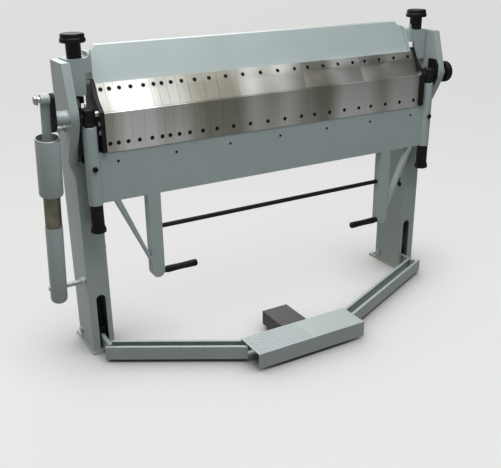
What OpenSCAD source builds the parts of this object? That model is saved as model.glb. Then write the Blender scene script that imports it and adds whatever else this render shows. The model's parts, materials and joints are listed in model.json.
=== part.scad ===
// Sheet metal folding brake on two columns, with segmented clamp and apron fingers,
// a treadle that works the clamp beam, and an apron that swings up to fold the sheet.
// X runs along the bend line, Y points to the rear and Z points up.
// The inner frame of every sub-part has its zero below the middle of the bend line.

/* [Machine] */
// Working width from end to end of the finger rows
work_w = 1270; // [1170:10:1370]
// Height of the bend line above the floor
bend_h = 850; // [820:5:900]
// Gap left between pieces that move past each other
run_gap = 0.3; // [0.2:0.05:0.4]
// Radial clearance of a shaft in its bore
fit_gap = 0.05; // [0.03:0.01:0.08]

/* [Columns] */
// Width of a column box across the machine
col_w = 76; // [70:1:84]
// Depth of a column box from front to rear
col_d = 150; // [144:1:180]
// Distance of the column's front face behind the bend line
col_front = 57; // [55:1:60]
// Wall of the column box
col_wall = 5; // [3:0.5:6]
// Top of the column box below the bend line
shoulder_drop = 170; // [165:1:190]
// Thickness of the cheek plate that forms the column head
head_w = 27; // [24:1:30]
// Distance of the cheek's top front corner behind the bend line
head_front = 20; // [12:1:28]
// Reach of the cheek's belly in front of the bend line
head_nose = 22; // [21:1:26]
// Distance of the cheek's rear edge behind the bend line
head_rear = 135; // [115:5:150]
// Top of the head above the bend line
head_rise = 155; // [150:1:165]
// Height over which the cheek's front slopes out from the column
head_slope = 150; // [140:1:152]
// Outer face of the column beyond the pivot tube
head_reach = 17.5; // [16:0.5:22]
// Width of the slot for the pedal lever
slot_w = 33; // [26:1:38]
// Top of the slot above the floor
slot_top = 220; // [190:1:240]
// Inner shelf under the return spring
shelf_h = 400; // [380:5:420]

/* [Feet] */
// Thickness of a foot plate
foot_t = 8; // [6:1:12]
// Margin of the foot plate around the column
foot_edge = 4; // [2:1:10]
// Length of the anchor tab behind the column
foot_tab = 38; // [34:1:50]
// Diameter of an anchor hole
anchor_d = 14; // [10:1:18]
// Spacing of the two anchor holes in one foot
anchor_gap = 48; // [40:1:54]

/* [Bed] */
// Thickness of the bed blade
bed_t = 20; // [16:1:24]
// Gap between the bed blade and the apron
bed_gap = 1; // [0.5:0.25:2]
// Distance of the bed beam behind the bend line
beam_front = 112; // [110:1:116]
// Depth of the bed beam
beam_d = 70; // [56:1:76]
// Wall of the bed beam
beam_t = 6; // [4:0.5:8]

/* [Pivots] */
// Radius of a pivot shaft
shaft_r = 10; // [8:0.5:11]
// Outer radius of a pivot bush
bush_r = 14; // [13:0.5:15]
// Radius of the pivot block and of the tube under it
tube_r = 22.5; // [21:0.5:23.5]
// Bore radius of the tube on the apron's end
tube_bore = 14; // [12:0.5:16]
// Thickness of the inner pivot plate
inner_t = 13; // [10:0.5:14]
// Thickness of the outer pivot plate
outer_t = 9; // [7:0.5:10]
// Height of the pivot block above the bend line
block_up = 20; // [18:1:24]
// Depth of the pivot block below the bend line
block_down = 31; // [29:1:36]
// Radius of the adjusting spindle
spindle_r = 8; // [6:0.5:9]
// Radius of the round housings outside the heads
housing_r = 21.5; // [20:0.5:24]
// Reach of the left housing past its pivot plate
housing_left = 70; // [66:1:74]
// Reach of the right housing past its pivot plate
housing_right = 35; // [25:1:45]
// Radius of the angle stop disc
disc_r = 40; // [35:1:45]
// Thickness of the angle stop disc
disc_t = 22; // [16:1:26]

/* [Apron] */
// Height of the apron fingers
apron_finger_h = 122; // [110:1:126]
// Thickness of the apron fingers
apron_finger_t = 10; // [8:0.5:12]
// Bottom edge of the apron below the bend line
apron_drop = 282; // [260:1:300]
// Thickness of the apron's backing plate
apron_t = 11; // [8:0.5:12]
// Thickness of the painted face plate in front of the backing
apron_face_t = 8; // [6:0.5:9.5]
// Depth of the stiffening flange along the apron's bottom edge
apron_flange = 40; // [30:1:50]
// Length of the apron tubes below the apron's bottom edge
tube_over = 4; // [2:1:8]
// Spacing of the seven set screws in the apron's face
set_pitch = 200; // [170:5:205]
// Travel of the height adjuster
adjust_travel = 10; // [6:1:12]
// Height of a height adjusting knob
adjuster_h = 93; // [80:1:100]
// Radius of a height adjusting knob
adjuster_r = 21; // [18:0.5:22]

/* [Handles] */
// Distance of a handle's inner face from the machine's middle
handle_x = 465; // [440:5:480]
// Width of a handle bar
handle_w = 45; // [38:1:50]
// Depth of a handle bar
handle_d = 36; // [30:1:42]
// Bottom of a handle below the bend line
handle_drop = 584; // [560:1:600]
// Plate of a handle
handle_t = 5; // [3:0.5:6]
// Reach of a brace towards the apron's end
brace_reach = 112; // [95:1:125]
// Radius of a grip
grip_r = 12.5; // [11:0.5:14]
// Length of a grip
grip_l = 126; // [110:1:140]
// Height of the grips above the handles' feet
grip_up = 18; // [16:1:36]
// Radius of the crossbar
crossbar_r = 8; // [6:0.5:10]
// Depth of the crossbar below the bend line
crossbar_drop = 407; // [380:1:430]

/* [Clamp beam] */
// Lean of the clamp fingers and of the beam's face
lean = 28; // [25:0.5:30]
// Length of a clamp finger up its sloping face
finger_h = 93; // [86:1:98]
// Thickness of a clamp finger
finger_t = 14; // [12:0.5:16]
// Length of a finger's foot on the bed
foot_len = 46; // [42:1:52]
// Height of a finger's foot
finger_foot_h = 14; // [12:0.5:16]
// Gap between neighbouring fingers
finger_gap = 0.4; // [0.2:0.1:0.6]
// Length of the beam's panel up its sloping face
panel_h = 220; // [212:1:226]
// Thickness of the beam's panel
panel_t = 12; // [8:0.5:14]
// Rear edge of the clamp beam behind the bend line
clamp_rear = 150; // [146:1:156]
// Thickness of the beam's bottom plate
sole_t = 10; // [8:0.5:12]
// Thickness of the beam's end cheeks and ribs
cheek_t = 10; // [8:0.5:12]
// Corner cut at the top of the beam's face
bevel = 26; // [20:1:32]
// Reach of the cheeks in front of the panel
cheek_proud = 8; // [5:0.5:9]
// Number of ribs inside the beam
rib_count = 4; // [2:1:6]

/* [Clamp drive] */
// Lift of the clamp beam
clamp_lift = 45; // [30:1:48]
// Distance of the pull rods behind the bend line
rod_y = 88; // [86:1:92]
// Radius of a pull rod
rod_r = 7; // [6:0.5:8]
// Thickness of the ear plates
ear_t = 10; // [8:0.5:12]
// Radius of a pressure knob's cap
knob_r = 39.5; // [34:0.5:42]
// Height of a pressure knob's cap
knob_h = 28; // [22:1:32]
// Radius of a pressure knob's stem
stem_r = 23; // [18:0.5:25]
// Height of a pressure knob's stem
stem_h = 46; // [40:1:52]

/* [Treadle] */
// Height of the pedal pivot above the floor
pedal_z = 36; // [34:1:40]
// Distance of the pedal pivot behind the bend line
pedal_y = 186; // [184:1:188]
// Radius of a pedal pivot pin
pedal_pin_r = 8; // [7:0.5:9]
// Radius of the pin that pulls on a rod
link_pin_r = 6; // [5:0.5:7]
// Thickness of a pedal lever
lever_t = 14; // [10:1:16]
// Height of a pedal lever
lever_h = 44; // [40:1:46]
// Outer width of a treadle arm
arm_w = 50; // [44:1:54]
// Outer height of a treadle arm
arm_h = 48; // [46:1:52]
// Plate of the arms and the treadle
arm_t = 4; // [3:0.5:5]
// Length of the treadle
treadle_w = 436; // [400:2:470]
// Depth of the treadle
treadle_d = 125; // [110:1:140]
// Height of the treadle
treadle_h = 57; // [54:1:62]
// Distance of the treadle's front in front of the bend line
treadle_front = 340; // [320:1:360]
// Offset of the treadle's middle to the right
treadle_x = -70; // [-80:1:0]

/* [Strut] */
// Distance of the balance strut from the machine's middle
strut_x = 812; // [808:1:820]
// Distance of the crank pin from the pivot
crank_r = 70; // [60:1:74]
// Lean of the crank in front of the upright
crank_lean = 20; // [18:1:26]
// Depth of the strut's lower pivot below the bend line
strut_drop = 575; // [560:1:590]
// Distance of the strut's lower pivot behind the bend line
strut_y = 80; // [76:1:90]
// Radius of the strut's sleeve
sleeve_r = 37; // [36:0.5:38]
// Wall of the strut's sleeve
sleeve_t = 3.5; // [3:0.5:4]
// Radius of the bare tube in the strut
bare_r = 26; // [22:0.5:27]
// Radius of the strut's lower tube
base_r = 27.5; // [27:0.5:30]
// Radius of the strut's pins
strut_pin_r = 8; // [7:0.5:9]

/* [Heel box] */
// Width of the heel box behind the treadle
heel_w = 105; // [90:1:120]
// Depth of the heel box
heel_d = 133; // [110:1:140]
// Height of the heel box
heel_h = 54; // [44:1:56]
// Offset of the heel box's left end from the middle
heel_x = -122; // [-140:1:-100]

/* [Hidden] */
$fn = 64;
paint = [0.56, 0.62, 0.62];
black = [0.09, 0.09, 0.1];
steel = [0.72, 0.71, 0.69];
chrome = [0.85, 0.86, 0.88];
bronze = [0.62, 0.5, 0.3];
cut = 1;
seat_gap = run_gap;

// Stack of pieces outward from the finger ends
end_gap = 1.5;
block_room = 10;
plate_room = 1.5;
row_end = work_w / 2;
plate_x = row_end + end_gap;
tube_x = plate_x + inner_t + block_room + tube_r;
outer_x = tube_x + tube_r + plate_room;
col_out = tube_x + tube_r + head_reach;
col_in = col_out - col_w;
col_mid = (col_in + col_out) / 2;
col_rear = col_front + col_d;
box_top = bend_h - shoulder_drop;
head_top = bend_h + head_rise;
head_in = outer_x + outer_t;
head_out = head_in + head_w;
head_lap = 40;
head_taper = 60;
head_hole_gap = 1;
belly_up = 20;
rod_head_room = 35;
rod_x = head_in - rod_head_room;
foot_y0 = col_front - foot_edge;
foot_y1 = col_rear + foot_tab;
anchor_y = col_rear + foot_tab / 2 + foot_edge / 2;

// Outline of the pivot plates, measured from the pivot
plate_nose = 20;
apron_gap = 4;
plate_low = apron_finger_h - apron_gap;
inner_up = 95;
inner_chin = 6;
inner_cheek = 45;
inner_face_y = 26;
inner_knee = 55;
inner_top_y = [52, 72];
inner_tail = 160;
inner_step_y = 16;
outer_up = 52;
outer_knee = 30;
outer_tail = 125;
outer_rear = 30;
outer_toe_y = 8;
outer_toe_z = 60;

// Apron
finger_shares = [5, 6, 7, 8, 9, 5, 6, 7, 8, 11, 10, 15, 53, 51, 53];
share_sum = sum_to(finger_shares, len(finger_shares));
share_w = work_w / share_sum;
wide_share = 20;
wide_screws = 4;
wide_margin = 28;
narrow_count = 12;
backing_top = 24;
apron_low = bend_h - apron_drop;
lower_screw_up = 27;
upper_screw_down = 20;
screw_r = 7;
screw_shank_r = 3;
screw_sink = 2;
screw_head_h = 5;
set_r = 5;
set_depth = 6;
set_sink = 1;
set_drop = 32;
adjust_room = 5;
tube_top = block_down + adjust_room;
tube_low = apron_drop + tube_over;
flange_t = 8;
flange_inset = 35;
adjuster_rim_r = adjuster_r + 4;
adjuster_rim_h = 15;
adjuster_waist_h = 10;
adjuster_floor = 8;
spindle_seat = 17;

// Handles
handle_y = -apron_face_t;
handle_round = handle_w / 2;
brace_w = 10;
brace_d = 25;
brace_low = 70;
grip_y = handle_y + grip_r;
grip_drop = handle_drop - grip_up;
grip_neck = 10;
crossbar_y = handle_y + handle_d - crossbar_r - handle_t;

// Clamp beam section, measured from the finger's nose
nose_y = 4.8;
c_lean = cos(lean);
s_lean = sin(lean);
heel_u = foot_u(finger_t);
sole_top = finger_foot_h + sole_t;
skirt_t = 8;
skirt_h = 46;
lip_w = 34;
lip_t = 8;
cheek_step = 2;
beam_half = row_end - cheek_t;

// Ears and pull rods
ear_rod_room = 14;
ear_front = rod_y - ear_t - ear_rod_room;
ear_rear = 140;
ear_low = 47;
ear_notch_h = 115;
ear_notch_w = 24;
ear_web_t = 8;
ear_side_room = 2;
ear_out = head_in - ear_side_room;
ear_fillet = 24;
ear_top = head_rise + 3;
knob_z = bend_h + ear_top + 2 * seat_gap;
knob_tier = 12;
knob_rim = 3;
rod_top_room = 14;
rod_top = knob_z + stem_h + knob_h - rod_top_room;
rod_hole_gap = 0.4;
nut_w = 28;
nut_h = 22;
nut_low = 22;
fork_w = 26;
fork_front = 15;
fork_rear = 23;
fork_d = fork_front + fork_rear;
fork_low = 20;
fork_high = 90;
fork_slot_top = 76;
fork_side_gap = 0.5;
link_slack = 1.8;
link_run = 10.4;
spring_r = 14;
spring_t = 4;
spring_room = 2;
collar_r = 15;
collar_h = 8;
collar_z = 540;
shelf_t = 6;
shelf_gap = 2;

// Pedal
slot_low = foot_t + 5;
lever_z = pedal_z - lever_h / 2;
lever_end_r = 15;
lever_front = -4;
pin_collar_r = 13;
arm_z = 12;
arm_lip = 11;
arm_start = [12, 4];
treadle_rear = treadle_d - treadle_front;
treadle_top = arm_z + treadle_h;
arm_left_end = [47, 47];
arm_right_end = [47, 47];

// Strut
crank_t = 12;
crank_hub_r = 38;
crank_eye_r = 16;
crank_x = head_in + housing_left + run_gap;
pin_y = -crank_r * sin(crank_lean);
pin_z = crank_r * cos(crank_lean);
strut_rise = strut_drop + pin_z;
strut_tilt = atan((strut_y - pin_y) / strut_rise);
bar_w = 26;
bar_t = 12;
bar_over = 16;
bar_down = 158;
bar_x = strut_x - bar_w / 2;
strut_len = norm([strut_rise, strut_y - pin_y]);
sleeve_room = 118;
sleeve_l = 182;
bare_l = 117;
base_low = 56;
bare_lap = 6;
sleeve_top = strut_len - sleeve_room;
bare_top = sleeve_top - sleeve_l;
base_top = bare_top - bare_l;
sleeve_floor = 6;
pin_out = 32;
nut_r = 13;
pin_nut_h = 10;
stud_out = strut_x + base_r + 4;
stud_collar_r = 15;
stud_collar_h = 16;

// Where the outer box of the whole machine puts the middle and the bend line
reach_left = strut_x + sleeve_r;
disc_gap = 2;
reach_right = head_in + housing_right + disc_gap + disc_t;
mid_x = (reach_left - reach_right) / 2;
mid_y = (treadle_front - foot_y1) / 2;

function sum_to(list, n) = n == 0 ? 0 : list[n - 1] + sum_to(list, n - 1);

// Left end of finger i along the row
function finger_x(i) = -row_end + share_w * sum_to(finger_shares, i);

// Width of finger i
function finger_w(i) = share_w * finger_shares[i];

// Places of the screws of finger i along the row
function screw_xs(i) = finger_shares[i] < wide_share
    ? [finger_x(i) + finger_w(i) / 2]
    : [for (k = [0:wide_screws - 1]) finger_x(i) + wide_margin
        + (finger_w(i) - 2 * wide_margin) * k / (wide_screws - 1)];

// Length up the slope at which a plane a depth d behind the face meets the foot's top
function foot_u(d) = (finger_foot_h + d * s_lean) / c_lean;

// Point on the clamp fingers' sloping face, a length u up it and a depth d behind it
function face_point(u, d) = [nose_y + u * s_lean + d * c_lean, u * c_lean - d * s_lean];

// Puts the machine's own frame into the part's frame
module machine() { translate([mid_x, mid_y, 0]) children(); }

module left_side() { mirror([1, 0, 0]) children(); }

module bend_frame() { translate([0, 0, bend_h]) children(); }

// Flat shape in Y and Z, given a thickness along X
module slab(x0, x1) {
    translate([x0, 0, 0]) rotate([90, 0, 90]) linear_extrude(height = x1 - x0) children();
}

// Flat shape in X and Z, given a thickness along Y
module plank(y0, y1) {
    translate([0, y1, 0]) rotate([90, 0, 0]) linear_extrude(height = y1 - y0) children();
}

module bar_x_axis(x0, x1, r) {
    translate([x0, 0, 0]) rotate([0, 90, 0]) cylinder(h = x1 - x0, r = r);
}

module bar_y_axis(y0, y1, r) {
    translate([0, y0, 0]) rotate([-90, 0, 0]) cylinder(h = y1 - y0, r = r);
}

module hex_x_axis(x0, x1, r) {
    translate([x0, 0, 0]) rotate([0, 90, 0]) cylinder(h = x1 - x0, r = r, $fn = 6);
}

// Column: box below, thick cheek plate at the head, shelf for the return spring inside
module column() {
    inner_w = col_w - 2 * col_wall;
    inner_d = col_d - 2 * col_wall;
    color(paint) difference() {
        union() {
            difference() {
                translate([col_in, col_front, foot_t]) cube([col_w, col_d, box_top - foot_t]);
                translate([col_in + col_wall, col_front + col_wall, 0])
                    cube([inner_w, inner_d, shelf_h]);
                translate([col_in + col_wall, col_front + col_wall, shelf_h + shelf_t])
                    cube([inner_w, inner_d, box_top - col_wall - shelf_h - shelf_t]);
            }
            head_cheek();
        }
        translate([0, 0, bend_h])
            bar_x_axis(head_in - cut, head_out + cut, shaft_r + head_hole_gap);
        translate([rod_x - slot_w / 2, col_front - cut, slot_low])
            cube([slot_w, col_wall + 2 * cut, slot_top - slot_w / 2 - slot_low]);
        translate([rod_x, 0, slot_top - slot_w / 2])
            bar_y_axis(col_front - cut, col_front + col_wall + cut, slot_w / 2);
        translate([rod_x, rod_y, shelf_h - cut]) cylinder(h = box_top, r = rod_r + shelf_gap);
        translate([0, pedal_y, pedal_z])
            bar_x_axis(col_in - cut, col_out + cut, pedal_pin_r + fit_gap);
    }
}

module head_cheek() {
    low = box_top - head_lap;
    difference() {
        slab(head_in, head_out) polygon([[col_front, low], [col_front, box_top],
            [-head_nose, box_top + head_slope], [-head_nose, bend_h + belly_up],
            [head_front, head_top], [head_rear, head_top], [head_rear, low]]);
        translate([col_out, -head_nose - cut, low])
            rotate([0, atan((head_out - col_out) / head_taper), 0]) translate([0, 0, -head_taper])
                cube([head_taper, head_nose + head_rear + 2 * cut, 3 * head_taper]);
    }
}

module column_left() { machine() left_side() column(); }
module column_right() { machine() column(); }

// Foot plates: each carries a column, with a tab behind it for two floor anchors
module foot_plate() {
    color(paint) difference() {
        translate([col_in - foot_edge, foot_y0, 0])
            cube([col_w + 2 * foot_edge, foot_y1 - foot_y0, foot_t]);
        for (side = [-1, 1])
            translate([col_mid + side * anchor_gap / 2, anchor_y, -cut])
                cylinder(h = foot_t + 2 * cut, d = anchor_d);
    }
}
module foot_plates() {
    machine() {
        foot_plate();
        left_side() foot_plate();
    }
}

// Bed: a box beam between the columns, a blade on it and ribs under the blade
module bed_beam() {
    beam_h = shoulder_drop - bed_t;
    machine() color(paint) difference() {
        translate([-head_in, beam_front, box_top]) cube([2 * head_in, beam_d, beam_h]);
        translate([-head_in - cut, beam_front + beam_t, box_top + beam_t])
            cube([2 * (head_in + cut), beam_d - 2 * beam_t, beam_h - 2 * beam_t]);
    }
}
module bed_blade() {
    machine() color(steel) translate([-plate_x, bed_gap, bend_h - bed_t])
        cube([2 * plate_x, beam_front + beam_d - bed_gap, bed_t]);
}
module bed_ribs() {
    rib_t = 10;
    rib_h = 85;
    bar_front = apron_t + 5;
    bar_t = 16;
    bar_half = row_end - 2 * rib_t;
    rib_step = bar_half / 3;
    machine() color(paint) {
        translate([-bar_half, bar_front, bend_h - bed_t - rib_h])
            cube([2 * bar_half, bar_t, rib_h]);
        for (i = [-3:3])
            translate([i * rib_step - (i + 3) * rib_t / 6, bar_front + bar_t - cut,
                bend_h - bed_t - rib_h])
                cube([rib_t, beam_front - bar_front - bar_t + cut, rib_h]);
    }
}

// Inner pivot plate: stands between the finger rows and the pivot tube
module pivot_plate_inner() {
    color(black) bend_frame() difference() {
        slab(plate_x, plate_x + inner_t)
            polygon([[-plate_nose, -plate_low], [-plate_nose, inner_chin], [inner_face_y, inner_cheek],
                [inner_top_y[0], inner_up], [inner_top_y[1], inner_up],
                [beam_front, inner_knee], [beam_front, -inner_tail],
                [inner_step_y, -inner_tail], [inner_step_y, -plate_low]]);
        bar_x_axis(plate_x - cut, plate_x + inner_t + cut, bush_r);
    }
}
module pivot_plate_inner_left() { machine() left_side() pivot_plate_inner(); }
module pivot_plate_inner_right() { machine() pivot_plate_inner(); }

// Outer pivot plate: on the inner face of the head's cheek
module pivot_plate_outer() {
    color(black) bend_frame() difference() {
        slab(outer_x, outer_x + outer_t)
            polygon([[-plate_nose, -plate_nose], [-plate_nose, outer_knee], [-outer_toe_y / 2, outer_up],
                [outer_rear, outer_up], [outer_rear, -outer_tail],
                [outer_toe_y, -outer_tail], [outer_toe_y, -outer_toe_z]]);
        bar_x_axis(outer_x - cut, outer_x + outer_t + cut, bush_r);
    }
}
module pivot_plate_outer_left() { machine() left_side() pivot_plate_outer(); }
module pivot_plate_outer_right() { machine() pivot_plate_outer(); }

// Bushes: one in each pivot plate
module bush(x0, x1) {
    difference() {
        bar_x_axis(x0, x1, bush_r);
        bar_x_axis(x0 - cut, x1 + cut, shaft_r + fit_gap);
    }
}
module bush_pair() {
    bush(plate_x, plate_x + inner_t);
    bush(outer_x, outer_x + outer_t);
}
module pivot_bushes() {
    machine() color(bronze) bend_frame() {
        bush_pair();
        left_side() bush_pair();
    }
}

// Housings: round bosses on the cheeks that guide the shafts
module housing(reach) {
    difference() {
        bar_x_axis(head_out, head_in + reach, housing_r);
        bar_x_axis(head_out - cut, head_in + reach + cut, shaft_r + fit_gap);
    }
}
module pivot_housings() {
    machine() color(paint) bend_frame() {
        housing(housing_right);
        left_side() housing(housing_left);
    }
}

// Bright bolts in the outer face of each inner pivot plate
module plate_bolt_set() {
    bolt_r = 7;
    bolt_h = 5;
    top_y = 61;
    top_z = 84;
    low_y = 6;
    low_z = [30, 58];
    translate([0, top_y, top_z]) hex_x_axis(plate_x + inner_t, plate_x + inner_t + bolt_h, bolt_r);
    for (z = low_z)
        translate([0, -low_y, -z])
            hex_x_axis(plate_x + inner_t, plate_x + inner_t + bolt_h, bolt_r);
}
module plate_bolts() {
    machine() color(chrome) bend_frame() {
        plate_bolt_set();
        left_side() plate_bolt_set();
    }
}

// Black bolts in the inner face of each column, which hold the shelf
module column_bolt_set() {
    low_bolt_drop = 16;
    bolt_r = 8;
    bolt_h = 6;
    for (p = [[rod_y, shelf_h + shelf_t / 2], [rod_y - bolt_r, shelf_h - low_bolt_drop]])
        translate([0, p[0], p[1]]) hex_x_axis(col_in - bolt_h, col_in, bolt_r);
}
module column_bolts() {
    machine() color(black) {
        column_bolt_set();
        left_side() column_bolt_set();
    }
}

// Pedal pivot pins: shouldered, through the column walls and the pedal lever
module pedal_pivot_pin() {
    head_r = 13;
    head_h = 5;
    lever_side = lever_t / 2 + run_gap;
    translate([0, pedal_y, pedal_z]) {
        bar_x_axis(col_in - head_h, col_out + head_h, pedal_pin_r);
        bar_x_axis(col_in - head_h, col_in, head_r);
        bar_x_axis(col_out, col_out + head_h, head_r);
        bar_x_axis(col_in + col_wall, rod_x - lever_side, pin_collar_r);
        bar_x_axis(rod_x + lever_side, col_out - col_wall, pin_collar_r);
    }
}
module pedal_pivot_pins() {
    machine() color(chrome) {
        pedal_pivot_pin();
        left_side() pedal_pivot_pin();
    }
}

// Stud on the left column that carries the foot of the balance strut
module strut_stud() {
    machine() color(chrome) left_side() translate([0, strut_y, bend_h - strut_drop]) {
        bar_x_axis(col_out, stud_out, strut_pin_r);
        hex_x_axis(col_out, col_out + stud_collar_h, stud_collar_r);
        bar_x_axis(col_out, strut_x - base_r - run_gap, strut_pin_r + fit_gap * 20);
    }
}

// Stop bolt on the left head, which the hanging apron's crank rests near
module apron_stop_bolt() {
    stop_y = 44;
    stop_z = 42;
    head_len = 12;
    stop_reach = 48;
    stop_r = 6;
    stop_head_r = 10;
    machine() color(chrome) left_side() translate([0, stop_y, bend_h - stop_z]) {
        bar_x_axis(head_out, col_out + stop_reach, stop_r);
        hex_x_axis(col_out + stop_reach - head_len, col_out + stop_reach, stop_head_r);
    }
}

// Return springs: around the pull rods inside the columns, between shelf and collar
module return_spring() {
    translate([rod_x, rod_y, shelf_h + shelf_t]) difference() {
        cylinder(h = collar_z - shelf_h - shelf_t, r = spring_r);
        translate([0, 0, -cut])
            cylinder(h = collar_z - shelf_h, r = spring_r - spring_t);
    }
}
module return_springs() {
    machine() color(steel) {
        return_spring();
        left_side() return_spring();
    }
}

// Pivot block: holds the shaft crosswise and the spindle from below
module pivot_block() {
    rim = 3;
    color(black) bend_frame() difference() {
        translate([tube_x, 0, -block_down]) rotate_extrude()
            polygon([[0, 0], [tube_r, 0], [tube_r, block_down + block_up - rim],
                [tube_r - rim, block_down + block_up], [0, block_down + block_up]]);
        bar_x_axis(tube_x - tube_r - cut, tube_x + tube_r + cut, shaft_r + fit_gap);
        translate([tube_x, 0, -block_down - cut])
            cylinder(h = spindle_seat + cut, r = spindle_r + fit_gap);
    }
}
module pivot_block_left() { machine() left_side() pivot_block(); }
module pivot_block_right() { machine() pivot_block(); }

// Pivot shafts: the left one carries the crank, the right one the angle disc
module pivot_shaft_left() {
    machine() color(steel) left_side() bend_frame()
        bar_x_axis(plate_x, crank_x + crank_t, shaft_r);
}
module pivot_shaft_right() {
    machine() color(steel) bend_frame() bar_x_axis(plate_x, reach_right, shaft_r);
}

// Spindles: screwed into the pivot blocks, they carry the apron on its knobs
module adjuster_spindle() {
    low = tube_low + adjuster_h - adjuster_floor - adjust_travel;
    translate([tube_x, 0, -low]) cylinder(h = low - block_down + spindle_seat, r = spindle_r);
}
module adjuster_spindles() {
    machine() color(steel) bend_frame() {
        adjuster_spindle();
        left_side() adjuster_spindle();
    }
}

// Crank: joins the left pivot shaft to the balance strut
module crank_arm() {
    machine() color(black) left_side() bend_frame() difference() {
        slab(crank_x, crank_x + crank_t) hull() {
            circle(r = crank_hub_r, $fn = 32);
            translate([pin_y, pin_z]) circle(r = crank_eye_r, $fn = 32);
        }
        bar_x_axis(crank_x - cut, crank_x + crank_t + cut, shaft_r + fit_gap);
        translate([0, pin_y, pin_z])
            bar_x_axis(crank_x - cut, crank_x + crank_t + cut, strut_pin_r + fit_gap);
    }
}
module crank_pin() {
    machine() color(chrome) left_side() bend_frame() translate([0, pin_y, pin_z]) {
        bar_x_axis(crank_x, strut_x + pin_out, strut_pin_r);
        hex_x_axis(strut_x + pin_out - pin_nut_h, strut_x + pin_out, nut_r);
    }
}

// Angle disc: a knurled stop wheel on the right end of the pivot
module angle_disc() {
    x0 = reach_right - disc_t;
    groove = 6;
    machine() color(black) bend_frame() translate([x0, 0, 0]) rotate([0, 90, 0])
        rotate_extrude() polygon([[shaft_r + fit_gap, 0], [disc_r - groove, 0],
            [disc_r, groove / 2], [disc_r, disc_t - groove / 2], [disc_r - groove / 2, disc_t],
            [shaft_r + fit_gap, disc_t]]);
}

// Apron: backing plate behind the fingers, thicker painted face below them
module apron_plate() {
    face_half = tube_x;
    low_h = apron_drop - apron_finger_h - seat_gap;
    machine() color(paint) bend_frame() difference() {
        union() {
            translate([-row_end, 0, -apron_finger_h - cut])
                cube([work_w, apron_t, apron_finger_h - backing_top + cut]);
            translate([-face_half, -apron_face_t, -apron_drop])
                cube([2 * face_half, apron_t + apron_face_t, low_h]);
            translate([flange_inset - row_end, apron_t - cut, -apron_drop])
                cube([work_w - 2 * flange_inset, apron_flange + cut, flange_t]);
        }
        for (side = [-1, 1])
            translate([side * tube_x, 0, -apron_drop - cut])
                cylinder(h = apron_drop, r = tube_r);
        apron_screw_holes(-cut, apron_t + cut, screw_shank_r + fit_gap);
        for (i = [-3:3])
            translate([i * set_pitch, 0, -apron_finger_h - set_drop])
                bar_y_axis(-apron_face_t - cut, set_depth - apron_face_t, set_r + fit_gap);
    }
}
module apron_screw_holes(y0, y1, r) {
    for (i = [0:len(finger_shares) - 1], x = screw_xs(i))
        translate([x, 0, lower_screw_up - apron_finger_h]) bar_y_axis(y0, y1, r);
}

// Apron fingers: a row of flat bars, as wide as the clamp fingers above them
module apron_fingers() {
    machine() color(steel) bend_frame() difference() {
        for (i = [0:len(finger_shares) - 1])
            translate([finger_x(i) + finger_gap / 2, -apron_finger_t, -apron_finger_h])
                cube([finger_w(i) - finger_gap, apron_finger_t, apron_finger_h]);
        apron_screw_holes(-apron_finger_t - cut, screw_sink + screw_head_h - apron_finger_t,
            screw_r + fit_gap);
        apron_screw_holes(-apron_finger_t - cut, cut, screw_shank_r + fit_gap);
    }
}
module apron_finger_screws() {
    head_y = screw_sink - apron_finger_t;
    machine() color(black) bend_frame() {
        apron_screw_holes(head_y, head_y + screw_head_h, screw_r);
        apron_screw_holes(head_y, apron_t, screw_shank_r);
    }
}
module apron_set_screws() {
    machine() color(black) bend_frame() for (i = [-3:3])
        translate([i * set_pitch, 0, -apron_finger_h - set_drop])
            bar_y_axis(set_sink - apron_face_t, set_depth - apron_face_t, set_r);
}

// Tube on each end of the apron, around the spindle
module apron_tube() {
    color(paint) bend_frame() translate([tube_x, 0, -tube_low]) difference() {
        cylinder(h = tube_low - tube_top, r = tube_r);
        translate([0, 0, -cut]) cylinder(h = tube_low - tube_top + 2 * cut, r = tube_bore);
    }
}
module apron_tube_left() { machine() left_side() apron_tube(); }
module apron_tube_right() { machine() apron_tube(); }

// Height adjusting knob: a nut on the spindle, under the tube
module adjuster_knob() {
    top = -tube_low - seat_gap;
    hole_top = adjuster_h - adjuster_floor;
    color(black) bend_frame() translate([tube_x, 0, top - adjuster_h]) difference() {
        rotate_extrude() polygon([[0, 0], [adjuster_rim_r, 0], [adjuster_rim_r, adjuster_rim_h],
            [adjuster_r, adjuster_rim_h + adjuster_waist_h], [adjuster_r, adjuster_h],
            [0, adjuster_h]]);
        translate([0, 0, adjuster_floor])
            cylinder(h = hole_top + cut, r = spindle_r + fit_gap);
    }
}
module adjuster_knob_left() { machine() left_side() adjuster_knob(); }
module adjuster_knob_right() { machine() adjuster_knob(); }

// Handle: hanging bar of folded plate with a brace to the apron
module handle() {
    bar_h = handle_drop - apron_drop;
    inner_w = handle_w - handle_t;
    brace_top = handle_x + handle_w + brace_reach;
    color(paint) bend_frame() translate([0, handle_y, -apron_drop]) {
        difference() {
            union() {
                translate([handle_x, 0, handle_round - bar_h])
                    cube([handle_w, handle_d, bar_h - handle_round]);
                translate([handle_x + handle_round, 0, handle_round - bar_h])
                    bar_y_axis(0, handle_d, handle_round);
            }
            translate([handle_x + handle_t, handle_t, handle_w - bar_h])
                cube([inner_w - handle_t, handle_d, bar_h - handle_w - handle_t]);
        }
        plank(0, brace_d) polygon([[brace_top, 0], [brace_top - brace_w * 2, 0],
            [handle_x + handle_w - cut / 2, brace_low / 2 - bar_h + handle_round + brace_w * 2],
            [handle_x + handle_w - cut / 2, brace_low / 2 - bar_h + handle_round]]);
    }
}
module handle_left() { machine() left_side() handle(); }
module handle_right() { machine() handle(); }

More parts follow.
